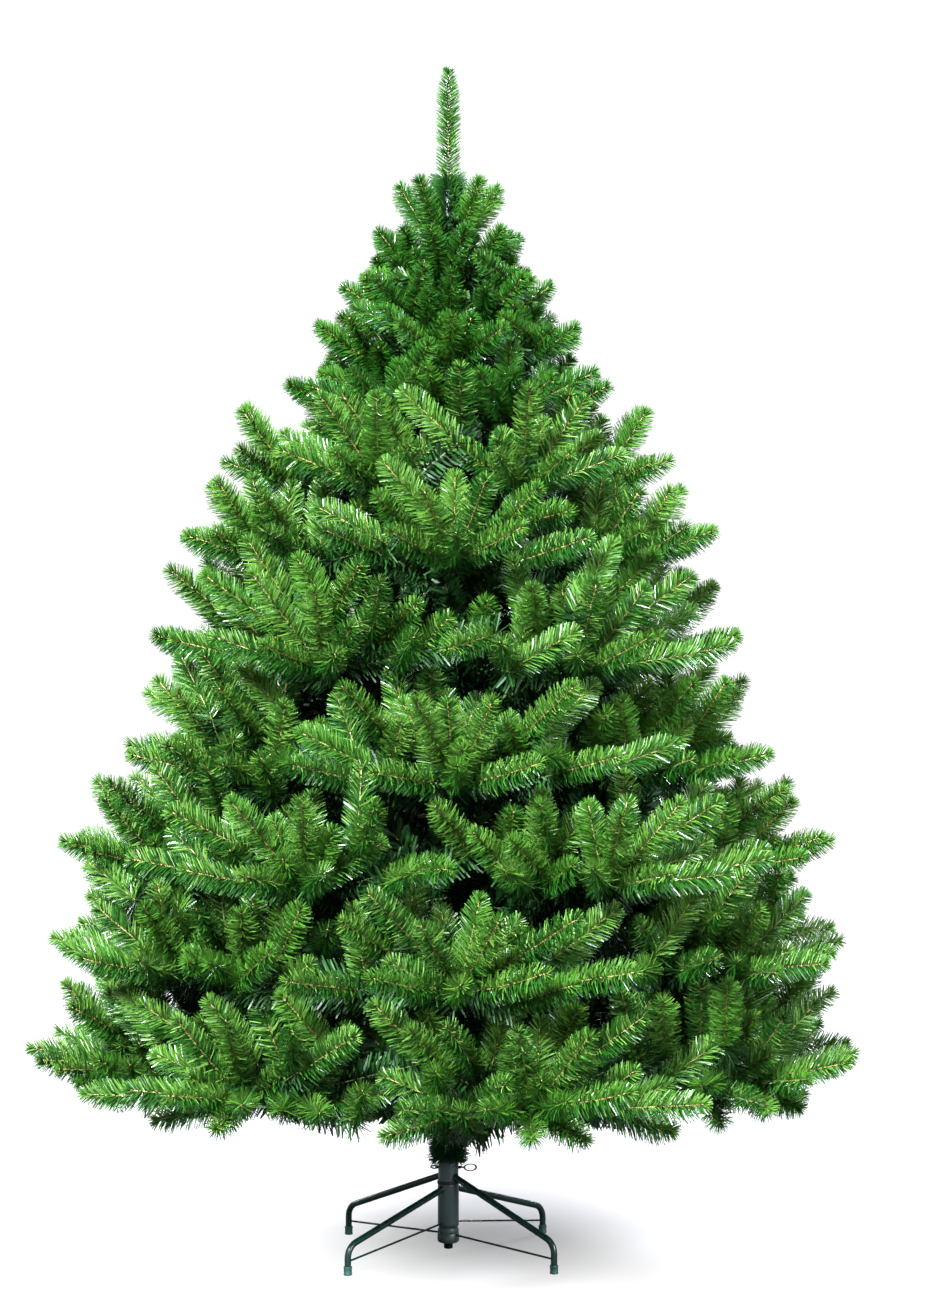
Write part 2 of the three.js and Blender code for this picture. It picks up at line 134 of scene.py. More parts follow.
def coated_surface() -> bpy.types.NodeTree:
    """Build the effect that every painted or moulded finish uses: mottling, scuffs and grain.

    Returns:
        A group that puts out a colour, a roughness and a height.
    """
    group = bpy.data.node_groups.new("coated_surface", "ShaderNodeTree")
    inputs = {"Place": "Vector", "Smooth": "Float", "Rough": "Float"}
    inputs |= {"Colour": "Color", "Mottled": "Color", "Rubbed": "Color"}
    for label, kind in inputs.items():
        group.interface.new_socket(label, in_out="INPUT", socket_type=f"NodeSocket{kind}")
    for label, kind in {"Colour": "Color", "Roughness": "Float", "Height": "Float"}.items():
        group.interface.new_socket(label, in_out="OUTPUT", socket_type=f"NodeSocket{kind}")
    given = group.nodes.new("NodeGroupInput").outputs
    out = group.nodes.new("NodeGroupOutput").inputs
    link = group.links.new

    mottle = add_node(group, "TexNoise", {"Scale": 30, "Detail": 5})
    grain = add_node(group, "TexNoise", {"Scale": 900, "Detail": 2})
    scuff = add_node(group, "TexNoise", {"Scale": 110, "Detail": 9, "Roughness": 0.75})
    for noise in (mottle, grain, scuff):
        link(given["Place"], noise.inputs["Vector"])
    link(grain.outputs["Fac"], out["Height"])

    patches = add_node(group, "MapRange", {"From Min": 0.56, "From Max": 0.68})
    link(scuff.outputs["Fac"], patches.inputs["Value"])
    worn = add_node(group, "Math", {1: 0.2}, operation="MULTIPLY")
    link(patches.outputs["Result"], worn.inputs[0])

    tint = add_node(group, "Mix", data_type="RGBA")
    link(mottle.outputs["Fac"], tint.inputs["Factor"])
    link(given["Colour"], tint.inputs["A"])
    link(given["Mottled"], tint.inputs["B"])
    rubbed = add_node(group, "Mix", data_type="RGBA")
    link(worn.outputs["Value"], rubbed.inputs["Factor"])
    link(tint.outputs["Result"], rubbed.inputs["A"])
    link(given["Rubbed"], rubbed.inputs["B"])
    link(rubbed.outputs["Result"], out["Colour"])

    gloss = add_node(group, "MapRange", {"From Min": 0.3, "From Max": 0.7})
    link(mottle.outputs["Fac"], gloss.inputs["Value"])
    link(given["Smooth"], gloss.inputs["To Min"])
    link(given["Rough"], gloss.inputs["To Max"])
    dulled = add_node(group, "Math", {1: 0.25}, operation="MULTIPLY_ADD")
    link(worn.outputs["Value"], dulled.inputs[0])
    link(gloss.outputs["Result"], dulled.inputs[2])
    link(dulled.outputs["Value"], out["Roughness"])
    return group


COATING = coated_surface()


@dataclass(frozen=True)
class Finish:
    """The look of a surface."""

    name: str
    colour: Corner

    def set_up(self, tree: bpy.types.NodeTree) -> None:
        """Set up the material, which each kind of finish does in its own way."""
        raise NotImplementedError

    def material(self) -> bpy.types.Material:
        """Make the finish into a material on first use.

        Returns:
            The material.
        """
        made = bpy.data.materials.get(self.name)
        if not made:
            made = bpy.data.materials.new(self.name)
            made.use_nodes = True
            self.set_up(made.node_tree)
        return made


@dataclass(frozen=True)
class Film(Finish):
    """A plain glossy plastic film or wire, for the pieces whose colours are dealt out by spray."""

    roughness: float

    def set_up(self, tree: bpy.types.NodeTree) -> None:
        """Set up the material.

        Args:
            tree: its node tree.
        """
        shader = tree.nodes["Principled BSDF"].inputs
        shader["Base Color"].default_value = (*self.colour, 1.0)
        shader["Roughness"].default_value = self.roughness


@dataclass(frozen=True)
class Coating(Finish):
    """A painted, plastic or metal finish with mottling, scuffs and a fine grain."""

    mottled: Corner
    rubbed: Corner
    smooth: float = 0.3
    rough: float = 0.5
    metallic: float = 0.0
    bump: float = 0.08

    def set_up(self, tree: bpy.types.NodeTree) -> None:
        """Set up the material.

        Args:
            tree: its node tree.
        """
        shader, link = tree.nodes["Principled BSDF"].inputs, tree.links.new
        place = add_node(tree, "TexCoord")
        inputs = {"Smooth": self.smooth, "Rough": self.rough, "Colour": (*self.colour, 1.0)}
        inputs |= {"Mottled": (*self.mottled, 1.0), "Rubbed": (*self.rubbed, 1.0)}
        surface = add_node(tree, "Group", inputs, node_tree=COATING)
        bump = add_node(tree, "Bump", {"Strength": self.bump, "Distance": 0.001})
        link(place.outputs["Object"], surface.inputs["Place"])
        link(surface.outputs["Colour"], shader["Base Color"])
        link(surface.outputs["Roughness"], shader["Roughness"])
        link(surface.outputs["Height"], bump.inputs["Height"])
        link(bump.outputs["Normal"], shader["Normal"])
        shader["Metallic"].default_value = self.metallic


LEG_PAINT = Coating(
    "leg_paint", (0.003, 0.020, 0.014), (0.005, 0.030, 0.021), (0.03, 0.07, 0.055), 0.2, 0.34
)
SLEEVE_PAINT = Coating(
    "sleeve_paint", (0.045, 0.07, 0.068), (0.06, 0.088, 0.084), (0.11, 0.14, 0.13), 0.34, 0.5, 0.25
)
POLE_PAINT = Coating(
    "pole_tube_paint", (0.01, 0.035, 0.022), (0.014, 0.045, 0.028), (0.06, 0.09, 0.07)
)
DARK_STEEL = Coating(
    "dark_steel", (0.012, 0.02, 0.018), (0.02, 0.03, 0.026), (0.08, 0.09, 0.085), 0.25, 0.42, 0.7
)
BLACK_RUBBER = Coating(
    "black_rubber", (0.003, 0.006, 0.005), (0.006, 0.010, 0.008), (0.02, 0.03, 0.026), 0.5, 0.65
)
CAP_PLASTIC = Coating(
    "cap_plastic", (0.015, 0.065, 0.05), (0.022, 0.082, 0.064), (0.05, 0.14, 0.11), 0.45, 0.62, 0, 0.15
)
BOUGH_TAPE = Coating(
    "bough_tape", (0.09, 0.075, 0.035), (0.05, 0.09, 0.03), (0.16, 0.14, 0.08), 0.5, 0.7, bump=0.3
)
TWIG_FILM = Film("twig_film", (0.09, 0.11, 0.03), 0.55)
TIP_WIRE = Film("tip_wire", (0.42, 0.27, 0.11), 0.5)
GREENS = (
    Film("needle_green_1", (0.037, 0.122, 0.009), 0.32),
    Film("needle_green_2", (0.052, 0.143, 0.014), 0.40),
    Film("needle_green_3", (0.073, 0.168, 0.019), 0.36),
    Film("needle_green_4", (0.010, 0.064, 0.004), 0.34),
    Film("needle_green_5", (0.104, 0.212, 0.034), 0.42),
    # the inner and deep greens are darkened as painted shade for the needles inside the crown
    Film("needle_green_inner", (0.008, 0.058, 0.004), 0.55),
    Film("needle_green_deep", (0.004, 0.034, 0.002), 0.55),
)
WRAP_GREEN = Film("wrap_green", (0.012, 0.075, 0.022), 0.35)


# ------------------------------------------------------------------ the growth rule


@dataclass(frozen=True)
class Layer:
    """One round of boughs: where it is, how its stems rise, and the size of its sprays."""

    height: float
    reach: float
    slope: float
    count: int
    first: float
    spray: float
    girth: float


TIERS = (
    Layer(0.265, 0.750, 0.14, 7, 180, 0.200, 0.045),
    Layer(0.440, 0.728, 0.16, 6, 210, 0.198, 0.045),
    Layer(0.596, 0.695, 0.18, 6, 180, 0.195, 0.045),
    Layer(0.765, 0.590, 0.21, 5, 198, 0.190, 0.045),
    Layer(0.950, 0.550, 0.24, 5, 162, 0.185, 0.045),
)
WHORLS = (
    Layer(1.130, 0.492, 0.28, 5, 198, 0.178, 0.045),
    Layer(1.262, 0.408, 0.34, 6, 180, 0.160, 0.043),
    Layer(1.400, 0.305, 0.45, 5, 162, 0.150, 0.037),
    Layer(1.495, 0.250, 0.55, 5, 198, 0.140, 0.033),
    Layer(1.585, 0.196, 0.66, 8, 180, 0.130, 0.031),
)
TOP_WHORLS = (
    Layer(1.680, 0.145, 0.86, 6, 195, 0.118, 0.028),
    Layer(1.765, 0.110, 1.15, 5, 162, 0.112, 0.026),
)
LAYERS = TIERS + WHORLS + TOP_WHORLS
TREE_HEIGHT = 2.1

# The tips of a bough's sprays are shared evenly across its sector, in line with its stem and,
# where the layer above leaves room for it, halfway up to that layer.
TIP_SPACING = 0.150
LOWER_INSET, LOWER_INSET_VARIES, LOWER_LEVEL_VARIES = 0.02, 0.03, 0.014
UPPER_GAP, UPPER_REACH, UPPER_REACH_VARIES = 0.125, 0.9, 0.03
UPPER_LEVEL, UPPER_LEVEL_VARIES = 0.64, 0.1
END_GIRTH, END_INSET = 0.72, 0.003  # of the slimmer spray in line with its stem
INNER_FILL, INNER_REACH = 0.740, 0.68  # two more, in layers that reach so far
OUTER_LIFT, SKIRT_DROOP = 0.010, 0.014  # of a row's outer tips, and of the lowest tier's
SIDE_ANGLE = 46  # of a side twig to its stem, seen from above
RISING_ANGLE = 48  # of a rising twig to its stem, seen from the side
ROOT_INSET_START, ROOT_INSET_END = 0.008, 0.004  # how far inside its stem's ends a twig starts
STEM_INSET = 0.002  # how far short of its end spray's foot a stem stops
SHORTEST, DRAW_STEP = 0.7, 0.010  # how far, and in what steps, a spray may be drawn in
WIDEST = 0.36  # how far along a spray is widest

SIDE_GAP = 0.0015  # between a spray and the edge of its bough's sector
LAYER_GAP = 0.0025  # between a layer's sprays and the cone that the next layer stays above
HANG, SKIRT_HANG = 0.006, 0.020  # how far past its girth a spray hangs, and in the lowest tier
BARE_REACH, COLLAR_REACH, CLEAR = 0.1653, 0.019, 0.0003  # where the masses' own stems start
NOTCH = 0.085  # how far the outline draws in between the tips of the two lowest layers
WAVE = (12.9898, 78.233, 43758.5453)  # the seeded wave that varies the sprays


@dataclass(frozen=True)
class Spray:
    """A twig off a bough's stem, with the brush of needles at its end."""

    root: np.ndarray
    direction: np.ndarray
    twig: float
    length: float
    girth: float


@dataclass(frozen=True)
class Bough:
    """One bough of a layer, with the space that its sprays keep to."""

    layer: Layer
    index: int
    number: int
    start: float
    floor: float
    ceiling: float
    ceiling_slope: float
    headroom: float

    @property
    def azimuth(self) -> float:
        """Return the direction of the stem, seen from above."""
        return self.layer.first + 360 / self.layer.count * self.number

    @property
    def half_sector(self) -> float:
        """Return half the angle that the bough has to itself."""
        return 180 / self.layer.count

    @property
    def stem_end(self) -> float:
        """Return how far out the stem stops, so that the spray on its end keeps to the reach."""
        return self.layer.reach - self.layer.spray / math.hypot(1, self.layer.slope) - STEM_INSET

    @property
    def node(self) -> str:
        """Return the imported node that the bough's needles stand for."""
        return node_of(self.index, self.number)

    def vary(self, choice: int) -> float:
        """Vary a choice that the bough makes.

        Args:
            choice: the choice's number.

        Returns:
            A repeatable number from -1 to 1.
        """
        seed = 10 * self.index + self.number + 1
        wave = math.sin(seed * WAVE[0] + choice * WAVE[1]) * WAVE[2]
        return 2 * (wave - math.floor(wave)) - 1

    def on_stem(self, distance: float) -> np.ndarray:
        """Return the point of the stem at a distance from the pole's middle."""
        return out_at(self.azimuth, distance, self.layer.height + distance * self.layer.slope)

    def holds(self, point: np.ndarray) -> bool:
        """Say whether a point keeps to the bough's sector, reach and layer.

        Args:
            point: the point to test.

        Returns:
            True where the point is inside the bough's own space.
        """
        turned = math.radians(self.azimuth)
        out = point[0] * math.cos(turned) + point[1] * math.sin(turned)
        aside = abs(point[1] * math.cos(turned) - point[0] * math.sin(turned))
        distance = math.hypot(point[0], point[1])
        return bool(
            aside <= out * math.tan(math.radians(self.half_sector)) - SIDE_GAP
            and distance <= self.layer.reach
            and point[2] >= self.floor + distance * self.layer.slope
            and point[2] <= self.ceiling + distance * self.ceiling_slope
        )

    def fits(self, spray: Spray) -> bool:
        """Say whether a whole spray keeps to the bough's space.

        Args:
            spray: the spray to test.

        Returns:
            True where its tip and its widest part on all sides are inside.
        """
        across = unit(np.array([spray.direction[1], -spray.direction[0], 0.0]))
        over = np.cross(across, spray.direction)
        widest = spray.root + spray.direction * (spray.twig + spray.length * WIDEST)
        corners = [spray.root + spray.direction * (spray.twig + spray.length)]
        for side in (-spray.girth, spray.girth):
            corners += [widest + across * side, widest + over * side]
        return all(self.holds(corner) for corner in corners)

    def spray_to(
        self, distance: float, offset: float, above: float, girth: float = 0.0
    ) -> Iterator[Spray]:
        """Give the spray from the stem to one tip, drawn in along its twig until it fits.

        Args:
            distance: of the tip from the pole's middle.
            offset: the tip's azimuth off the bough's own.
            above: the tip's height above the stem's line.
            girth: the spray's half width, or nothing for the layer's own.

        Yields:
            The spray, where there is room for it.
        """
        girth = girth or self.layer.girth
        turned = math.radians(offset)
        aside = abs(distance * math.sin(turned)) / math.tan(math.radians(SIDE_ANGLE))
        below = above / math.tan(math.radians(RISING_ANGLE))
        wanted = distance * math.cos(turned) - math.hypot(aside, below)
        wanted = max(wanted, self.start + ROOT_INSET_START)
        root = self.on_stem(min(wanted, self.stem_end - ROOT_INSET_END))
        height = self.layer.height + distance * self.layer.slope + above
        run = out_at(self.azimuth + offset, distance, height) - root
        whole = float(np.linalg.norm(run))
        while whole > self.layer.spray * SHORTEST:
            length = min(whole, self.layer.spray)
            spray = Spray(root, unit(run), whole - length, length, girth)
            if self.fits(spray):
                yield spray
                return
            whole -= DRAW_STEP

    def sprays(self) -> Iterator[Spray]:
        """Give all the sprays of the bough, row by row across its sector.

        Yields:
            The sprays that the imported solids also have.
        """
        reach, half = self.layer.reach, self.half_sector
        across = 2 * math.radians(half) * reach / TIP_SPACING
        lower = 1 + 2 * max(0, math.floor((across - 1) / 2 + 0.5))
        lift = OUTER_LIFT if self.index else -SKIRT_DROOP
        for i in range(lower):
            share = (2 * i + 1) / lower - 1
            if 2 * i + 1 == lower:
                yield from self.spray_to(reach - END_INSET, 0, 0, self.layer.girth * END_GIRTH)
                continue
            level = lift * abs(share) + LOWER_LEVEL_VARIES * self.vary(i)
            drawn_in = LOWER_INSET_VARIES * abs(share) * (1 + self.vary(20 + i))
            yield from self.spray_to(reach * (1 - LOWER_INSET - drawn_in), share * half, level)
        if reach > INNER_FILL:
            for side in (-half / 2, half / 2):
                yield from self.spray_to(reach * INNER_REACH, side, self.headroom / 3)
        if self.headroom < UPPER_GAP or lower < 3:
            return
        for i in range(lower - 1):
            share = (2 * i + 2) / lower - 1
            level = self.headroom * (UPPER_LEVEL + UPPER_LEVEL_VARIES * self.vary(40 + i))
            distance = reach * (UPPER_REACH + UPPER_REACH_VARIES * self.vary(60 + i))
            yield from self.spray_to(distance, share * half, level)


def node_of(index: int, number: int) -> str:
    """Return the name of a bough's packed foliage.

    Args:
        index: the layer's place, counted from the lowest.
        number: the bough's place in its layer.

    Returns:
        The node's name; the boughs of a whorl share one.
    """
    if index < len(TIERS):
        return f"foliage_tier_{index + 1}_{number + 1}"
    whorl = index - len(TIERS)
    return f"foliage_whorl_{whorl + 1}" if whorl < len(WHORLS) else "foliage_top"


def floor_of(index: int) -> float:
    """Return the height, at the pole's middle, of the cone that a layer's sprays stay above."""
    layer, hang = LAYERS[index], HANG if index else SKIRT_HANG
    return layer.height - (layer.girth + hang) * math.hypot(1, layer.slope)


def pole_radius_at(height: float) -> float:
    """Return the pole's radius at a height."""
    return next(radius for top, radius in Pole.SECTIONS if height <= top)


def outline_at(height: float) -> float:
    """Return how far out side tips may end at a height, less between the layers' own tips.

    Args:
        height: above the floor.

    Returns:
        The distance from the pole's middle.
    """
    tips = [(layer.height + layer.slope * layer.reach, layer.reach) for layer in LAYERS]
    if height <= tips[0][0]:
        return tips[0][1]
    for (low, wide), (high, narrow) in zip(tips, tips[1:]):
        if height <= high:
            share = (height - low) / (high - low)
            notch = NOTCH * (wide / tips[0][1]) * math.sin(math.pi * share)
            return wide + (narrow - wide) * share - notch
    return tips[-1][1]


def boughs_of(index: int) -> Iterator[Bough]:
    """Give the boughs of one layer.

    Args:
        index: the layer's place, counted from the lowest.

    Yields:
        The boughs, each with its own space.
    """
    layer = LAYERS[index]
    above = LAYERS[index + 1] if index + 1 < len(LAYERS) else None
    start = BARE_REACH if index == 0 else COLLAR_REACH
    if index >= len(TIERS):
        start = pole_radius_at(layer.height) + CLEAR
    out = layer.reach * UPPER_REACH
    headroom = above.height + above.slope * out - layer.height - layer.slope * out if above else 0.0
    ceiling = floor_of(index + 1) - LAYER_GAP if above else TREE_HEIGHT
    ceiling_slope = above.slope if above else 0.0
    space = (start, floor_of(index), ceiling, ceiling_slope, headroom)
    for number in range(layer.count):
        yield Bough(layer, index, number, *space)


# ------------------------------------------------------------------ meshes from arrays


def settle(made: bpy.types.Object, slot: Slot, *nodes: str) -> None:
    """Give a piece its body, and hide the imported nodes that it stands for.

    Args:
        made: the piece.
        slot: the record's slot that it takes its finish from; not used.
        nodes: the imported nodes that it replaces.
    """
    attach(made, "root")
    if nodes:
        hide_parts(*nodes)
    LOG.info("%s: %d faces", made.name, len(made.data.polygons))


@dataclass
class Faces:
    """Triangles of one kind that are gathered from many places and joined into pieces."""

    corners: list[np.ndarray] = field(default_factory=list)
    shades: list[np.ndarray] = field(default_factory=list)

    def add(self, corners: np.ndarray, shades: np.ndarray | int = 0) -> None:
        """Add triangles.

        Args:
            corners: an array of shape (triangles, 3, 3).
            shades: the material of each, or one for them all.
        """
        self.corners.append(corners)
        self.shades.append(np.broadcast_to(np.asarray(shades, dtype=np.int32), len(corners)))

    def take(self, other: Faces) -> None:
        """Add all the triangles of another."""
        self.corners += other.corners
        self.shades += other.shades

    def count(self) -> int:
        """Return how many triangles there are."""
        return sum(len(corners) for corners in self.corners)

    def make_piece(
        self, name: str, finishes: list[Finish], slot: Slot, *nodes: str, welded: bool = False
    ) -> None:
        """Make one piece of all that was added.

        Args:
            name: the piece's name.
            finishes: its materials, in the order of the shades.
            slot: the record's slot that it takes its finish from.
            nodes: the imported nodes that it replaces.
            welded: whether corners at one place are joined, for tubes.
        """
        corners = np.concatenate(self.corners).reshape(-1, 3)
        shades = np.concatenate(self.shades)
        numbers = np.arange(len(corners), dtype=np.int32)
        if welded:
            grid = np.round(corners / TINY).astype(np.int64)
            _, first, numbers = np.unique(grid, axis=0, return_index=True, return_inverse=True)
            corners, numbers = corners[first], numbers.reshape(-1).astype(np.int32)
        mesh = bpy.data.meshes.new(name)
        mesh.vertices.add(len(corners))
        mesh.vertices.foreach_set("co", corners.astype(np.float32).ravel())
        mesh.loops.add(len(numbers))
        mesh.loops.foreach_set("vertex_index", numbers)
        mesh.polygons.add(len(shades))
        mesh.polygons.foreach_set("loop_start", np.arange(0, len(numbers), 3, dtype=np.int32))
        mesh.polygons.foreach_set("material_index", shades.astype(np.int32))
        for finish in finishes:
            mesh.materials.append(finish.material())
        mesh.update(calc_edges=True)
        made = bpy.data.objects.new(name, mesh)
        bpy.context.collection.objects.link(made)
        settle(made, slot, *nodes)


def blade_faces(
    root: np.ndarray, point: np.ndarray, wide: np.ndarray, narrow: np.ndarray
) -> np.ndarray:
    """Return flat blades of two triangles each.

    Args:
        root: the middle of each blade's foot.
        point: the middle of its end.
        wide: half its width at the foot.
        narrow: half its width at the end.

    Returns:
        An array of shape (triangles, 3, 3).
    """
    left, right = root - wide, root + wide
    end_left, end_right = point - narrow, point + narrow
    corners = [left, right, end_right, left, end_right, end_left]
    return np.stack(corners, axis=1).reshape(-1, 3, 3)


def tube(path: np.ndarray, radii: np.ndarray, sides: int) -> np.ndarray:
    """Return a closed tube along a path, as triangles that face outwards.

    Args:
        path: the points of its middle line.
        radii: its radius at each point.
        sides: how many sides it has.

    Returns:
        An array of shape (triangles, 3, 3).
    """
    heading = unit(path[-1] - path[0])
    across, over = square_to(heading)
    turns = 2 * math.pi * np.arange(sides) / sides
    ring = np.cos(turns)[:, None] * across + np.sin(turns)[:, None] * over
    rings = path[:, None, :] + np.asarray(radii)[:, None, None] * ring[None]
    shifted = np.roll(rings, -1, axis=1)
    low, low_next, high, high_next = rings[:-1], shifted[:-1], rings[1:], shifted[1:]
    sheet = np.stack([low, high_next, low_next], axis=2).reshape(-1, 3, 3)
    other = np.stack([low, high, high_next], axis=2).reshape(-1, 3, 3)
    ends = []
    for end, order in ((0, (0, 1, 2)), (-1, (0, 2, 1))):
        middle = np.broadcast_to(path[end], rings[end].shape)
        cap = np.stack([middle, rings[end], shifted[end]], axis=1)
        ends.append(cap[:, order])
    return np.concatenate([sheet, other, *ends])


# ------------------------------------------------------------------ brush tips


@dataclass(frozen=True)
class Tip:
    """A brush tip: a bare twig, then a length of wire with needles all round."""

    END_SHARE: ClassVar[float] = 0.63  # how far the end's needles stand out past the wire

    root: np.ndarray
    direction: np.ndarray
    bare: float
    brush: float
    radius: float = 0.026
    lush: float = 1.0
    bend: float = 0.0

    @property
    def wire_end(self) -> float:
        """Return how far along the tip its wire stops, short of the last needles' points."""
        return self.bare + self.brush - self.END_SHARE * self.radius

    def ends(self) -> np.ndarray:
        """Return the points at the middle and at the end of its brush."""
        return self.at(self.bare + self.brush * np.array([0.5, 1.0]))

    def at(self, along: np.ndarray | float) -> np.ndarray:
        """Return points of the tip's middle line, which curves up a little.

        Args:
            along: how far along the tip from its root.

        Returns:
            The point, or an array of points.
        """
        along = np.asarray(along, dtype=float)
        _, over = square_to(self.direction)
        straight = self.root + along[..., None] * self.direction
        return straight + (self.bend * (along / (self.bare + self.brush)) ** 2)[..., None] * over


@dataclass(frozen=True)
class Filling:
    """A round of further tips: where they may end, how far apart they keep, and how they are."""

    tries: int
    nearest: float
    furthest: float
    spacing: float
    brush: float
    lush: float
    least_reach: float
    choice: int


class Needles:
    """The needles of a brush, laid out once in a few ways and copied to every tip."""

    WAYS = 10
    ROWS = 38
    PER_ROW = 9
    END_COUNT = 24
    LENGTH, END_LENGTH = 0.034, 0.017
    BLUNT, SHORTEST = 0.31, 0.63  # over the wire's last share, needles shorten to this share
    FOOT, SHORTER = 0.1, 0.16  # and over its first, they lengthen by this one
    LEAN, END_LEAN, LEANS_ON, LAST = 57, 48, 12, 0.12  # they lean on more over the last share
    PITCH = 0.17  # from row to row
    VARIES = {"place": 0.12, "length": 0.035, "end": 0.04, "lean": 3, "turn": 0.15, "twist": 0.42}
    RADIUS = 0.027  # of a brush with needles of their full length
    WIDTH = 0.00135
    SPARSE_WIDTH, SLEEVE_WIDTH = 2.9, 2.2  # of the needles inside the crown and along twigs
    SLEEVE_DENSITY, SLEEVE_SIZE, SLEEVE_LEAN, SLEEVE_LEAN_VARIES = 900, 1.15, 60, 0.2
    FOOT_WIDTH, POINT_WIDTH = 0.98, 0.38  # half widths of a blade at its ends

    def __init__(self) -> None:
        """Lay out the ways."""
        self.ways = [self.lay_out(np.random.default_rng(100 + way)) for way in range(self.WAYS)]

    def lay_out(self, dice: np.random.Generator) -> dict[str, np.ndarray]:
        """Lay out one brush, from its foot to its end.

        Args:
            dice: the seeded source of its small irregularities.

        Returns:
            Per needle: its place as a share of the wire, its turn round it, its lean out from
            it, its length, the twist of its blade and a number that deals its shade.
        """
        row = np.repeat(np.arange(self.ROWS), self.PER_ROW)
        around = np.tile(np.arange(self.PER_ROW), self.ROWS) + 0.5 * (row % 2)
        count, end = len(row), self.END_COUNT
        varies = self.VARIES
        share = row + 0.5 + dice.uniform(-varies["place"], varies["place"], count)
        share /= self.ROWS
        swell = np.clip((1 - share) / self.BLUNT, 0, 1)
        swell *= swell * (3 - 2 * swell)
        length = self.LENGTH * (self.SHORTEST + (1 - self.SHORTEST) * swell)
        length *= dice.normal(1, varies["length"], count)
        length *= 1 - self.SHORTER + self.SHORTER * np.clip(share / self.FOOT, 0, 1)
        lean = self.LEAN - self.LEANS_ON * (1 - np.clip((1 - share) / self.LAST, 0, 1))
        lean += dice.normal(0, varies["lean"], count)
        end_lean = self.END_LEAN * np.sqrt((np.arange(end) + 0.5) / end)
        turn = 2 * math.pi * around / self.PER_ROW + self.PITCH * row
        turn += dice.normal(0, varies["turn"], count)
        end_length = self.END_LENGTH * dice.normal(1, varies["end"], end)
        return {
            "share": np.concatenate([share, np.ones(end)]),
            "turn": np.concatenate([turn, GOLDEN_ANGLE * np.arange(end)]),
            "lean": np.radians(np.concatenate([lean, end_lean])),
            "length": np.concatenate([length, end_length]),
            "twist": dice.normal(0, varies["twist"], count + end),
            "deal": dice.uniform(0, 1, count + end),
        }

    def blades(self, tip: Tip, way: int, turn: float) -> tuple[np.ndarray, np.ndarray]:
        """Return the needles of one tip, as flat blades of two triangles.

        Args:
            tip: the tip that they stand on.
            way: which of the ways they are laid out in.
            turn: how far the brush is turned about its wire.

        Returns:
            The triangles' corners, and the number that deals each one's shade.
        """
        laid = self.ways[way % self.WAYS]
        if tip.lush < 1:
            kept = laid["deal"] < tip.lush
            laid = {name: values[kept] for name, values in laid.items()}
        root = tip.at(tip.bare + laid["share"] * (tip.wire_end - tip.bare))
        broad = self.WIDTH * (1 if tip.lush >= 1 else self.SPARSE_WIDTH)
        return self.stand(root, tip.direction, laid, turn, tip.radius / self.RADIUS, broad)

    def sleeve(
        self, start: np.ndarray, end: np.ndarray, turn: float
    ) -> tuple[np.ndarray, np.ndarray]:
        """Return the thinner needles along a twig or stem that carries tips.

        Args:
            start: where they begin.
            end: where they stop.
            turn: how far they are turned about the twig.

        Returns:
            The triangles' corners, and the number that deals each one's shade.
        """
        run = end - start
        length = float(np.linalg.norm(run))
        count = max(1, int(length * self.SLEEVE_DENSITY))
        laid = {name: np.resize(values, count) for name, values in self.ways[0].items()}
        laid["share"] = (np.arange(count) + 0.5) / count
        varied = self.SLEEVE_LEAN_VARIES * (laid["deal"] - 0.5)
        laid["lean"] = math.radians(self.SLEEVE_LEAN) + varied
        root = start + laid["share"][:, None] * run
        broad = self.WIDTH * self.SLEEVE_WIDTH
        return self.stand(root, run / length, laid, turn, self.SLEEVE_SIZE, broad)

    def stand(
        self,
        root: np.ndarray,
        direction: np.ndarray,
        laid: dict[str, np.ndarray],
        turn: float,
        size: float,
        broad: float,
    ) -> tuple[np.ndarray, np.ndarray]:
        """Stand needles on a wire, each a flat blade with its edge along the wire.

        Args:
            root: where each stands.
            direction: of the wire.
            laid: their turns, leans, lengths and twists.
            turn: how far they are all turned about the wire.
            size: what their lengths are multiplied by.
            broad: their width.

        Returns:
            The triangles' corners, and the number that deals each one's shade.
        """
        across, over = square_to(direction)
        angle = laid["turn"] + turn
        radial = np.cos(angle)[:, None] * across + np.sin(angle)[:, None] * over
        lean = laid["lean"][:, None]
        pointing = np.cos(lean) * direction + np.sin(lean) * radial
        along_wire = direction - np.cos(lean) * pointing
        along_wire /= np.linalg.norm(along_wire, axis=1)[:, None]
        aside = np.cross(pointing, along_wire)
        twist = laid["twist"][:, None]
        width = np.cos(twist) * along_wire + np.sin(twist) * aside
        point = root + size * laid["length"][:, None] * pointing
        foot, end = self.FOOT_WIDTH * broad * width, self.POINT_WIDTH * broad * width
        return blade_faces(root, point, foot, end), np.repeat(laid["deal"], 2)


# ------------------------------------------------------------------ the crown


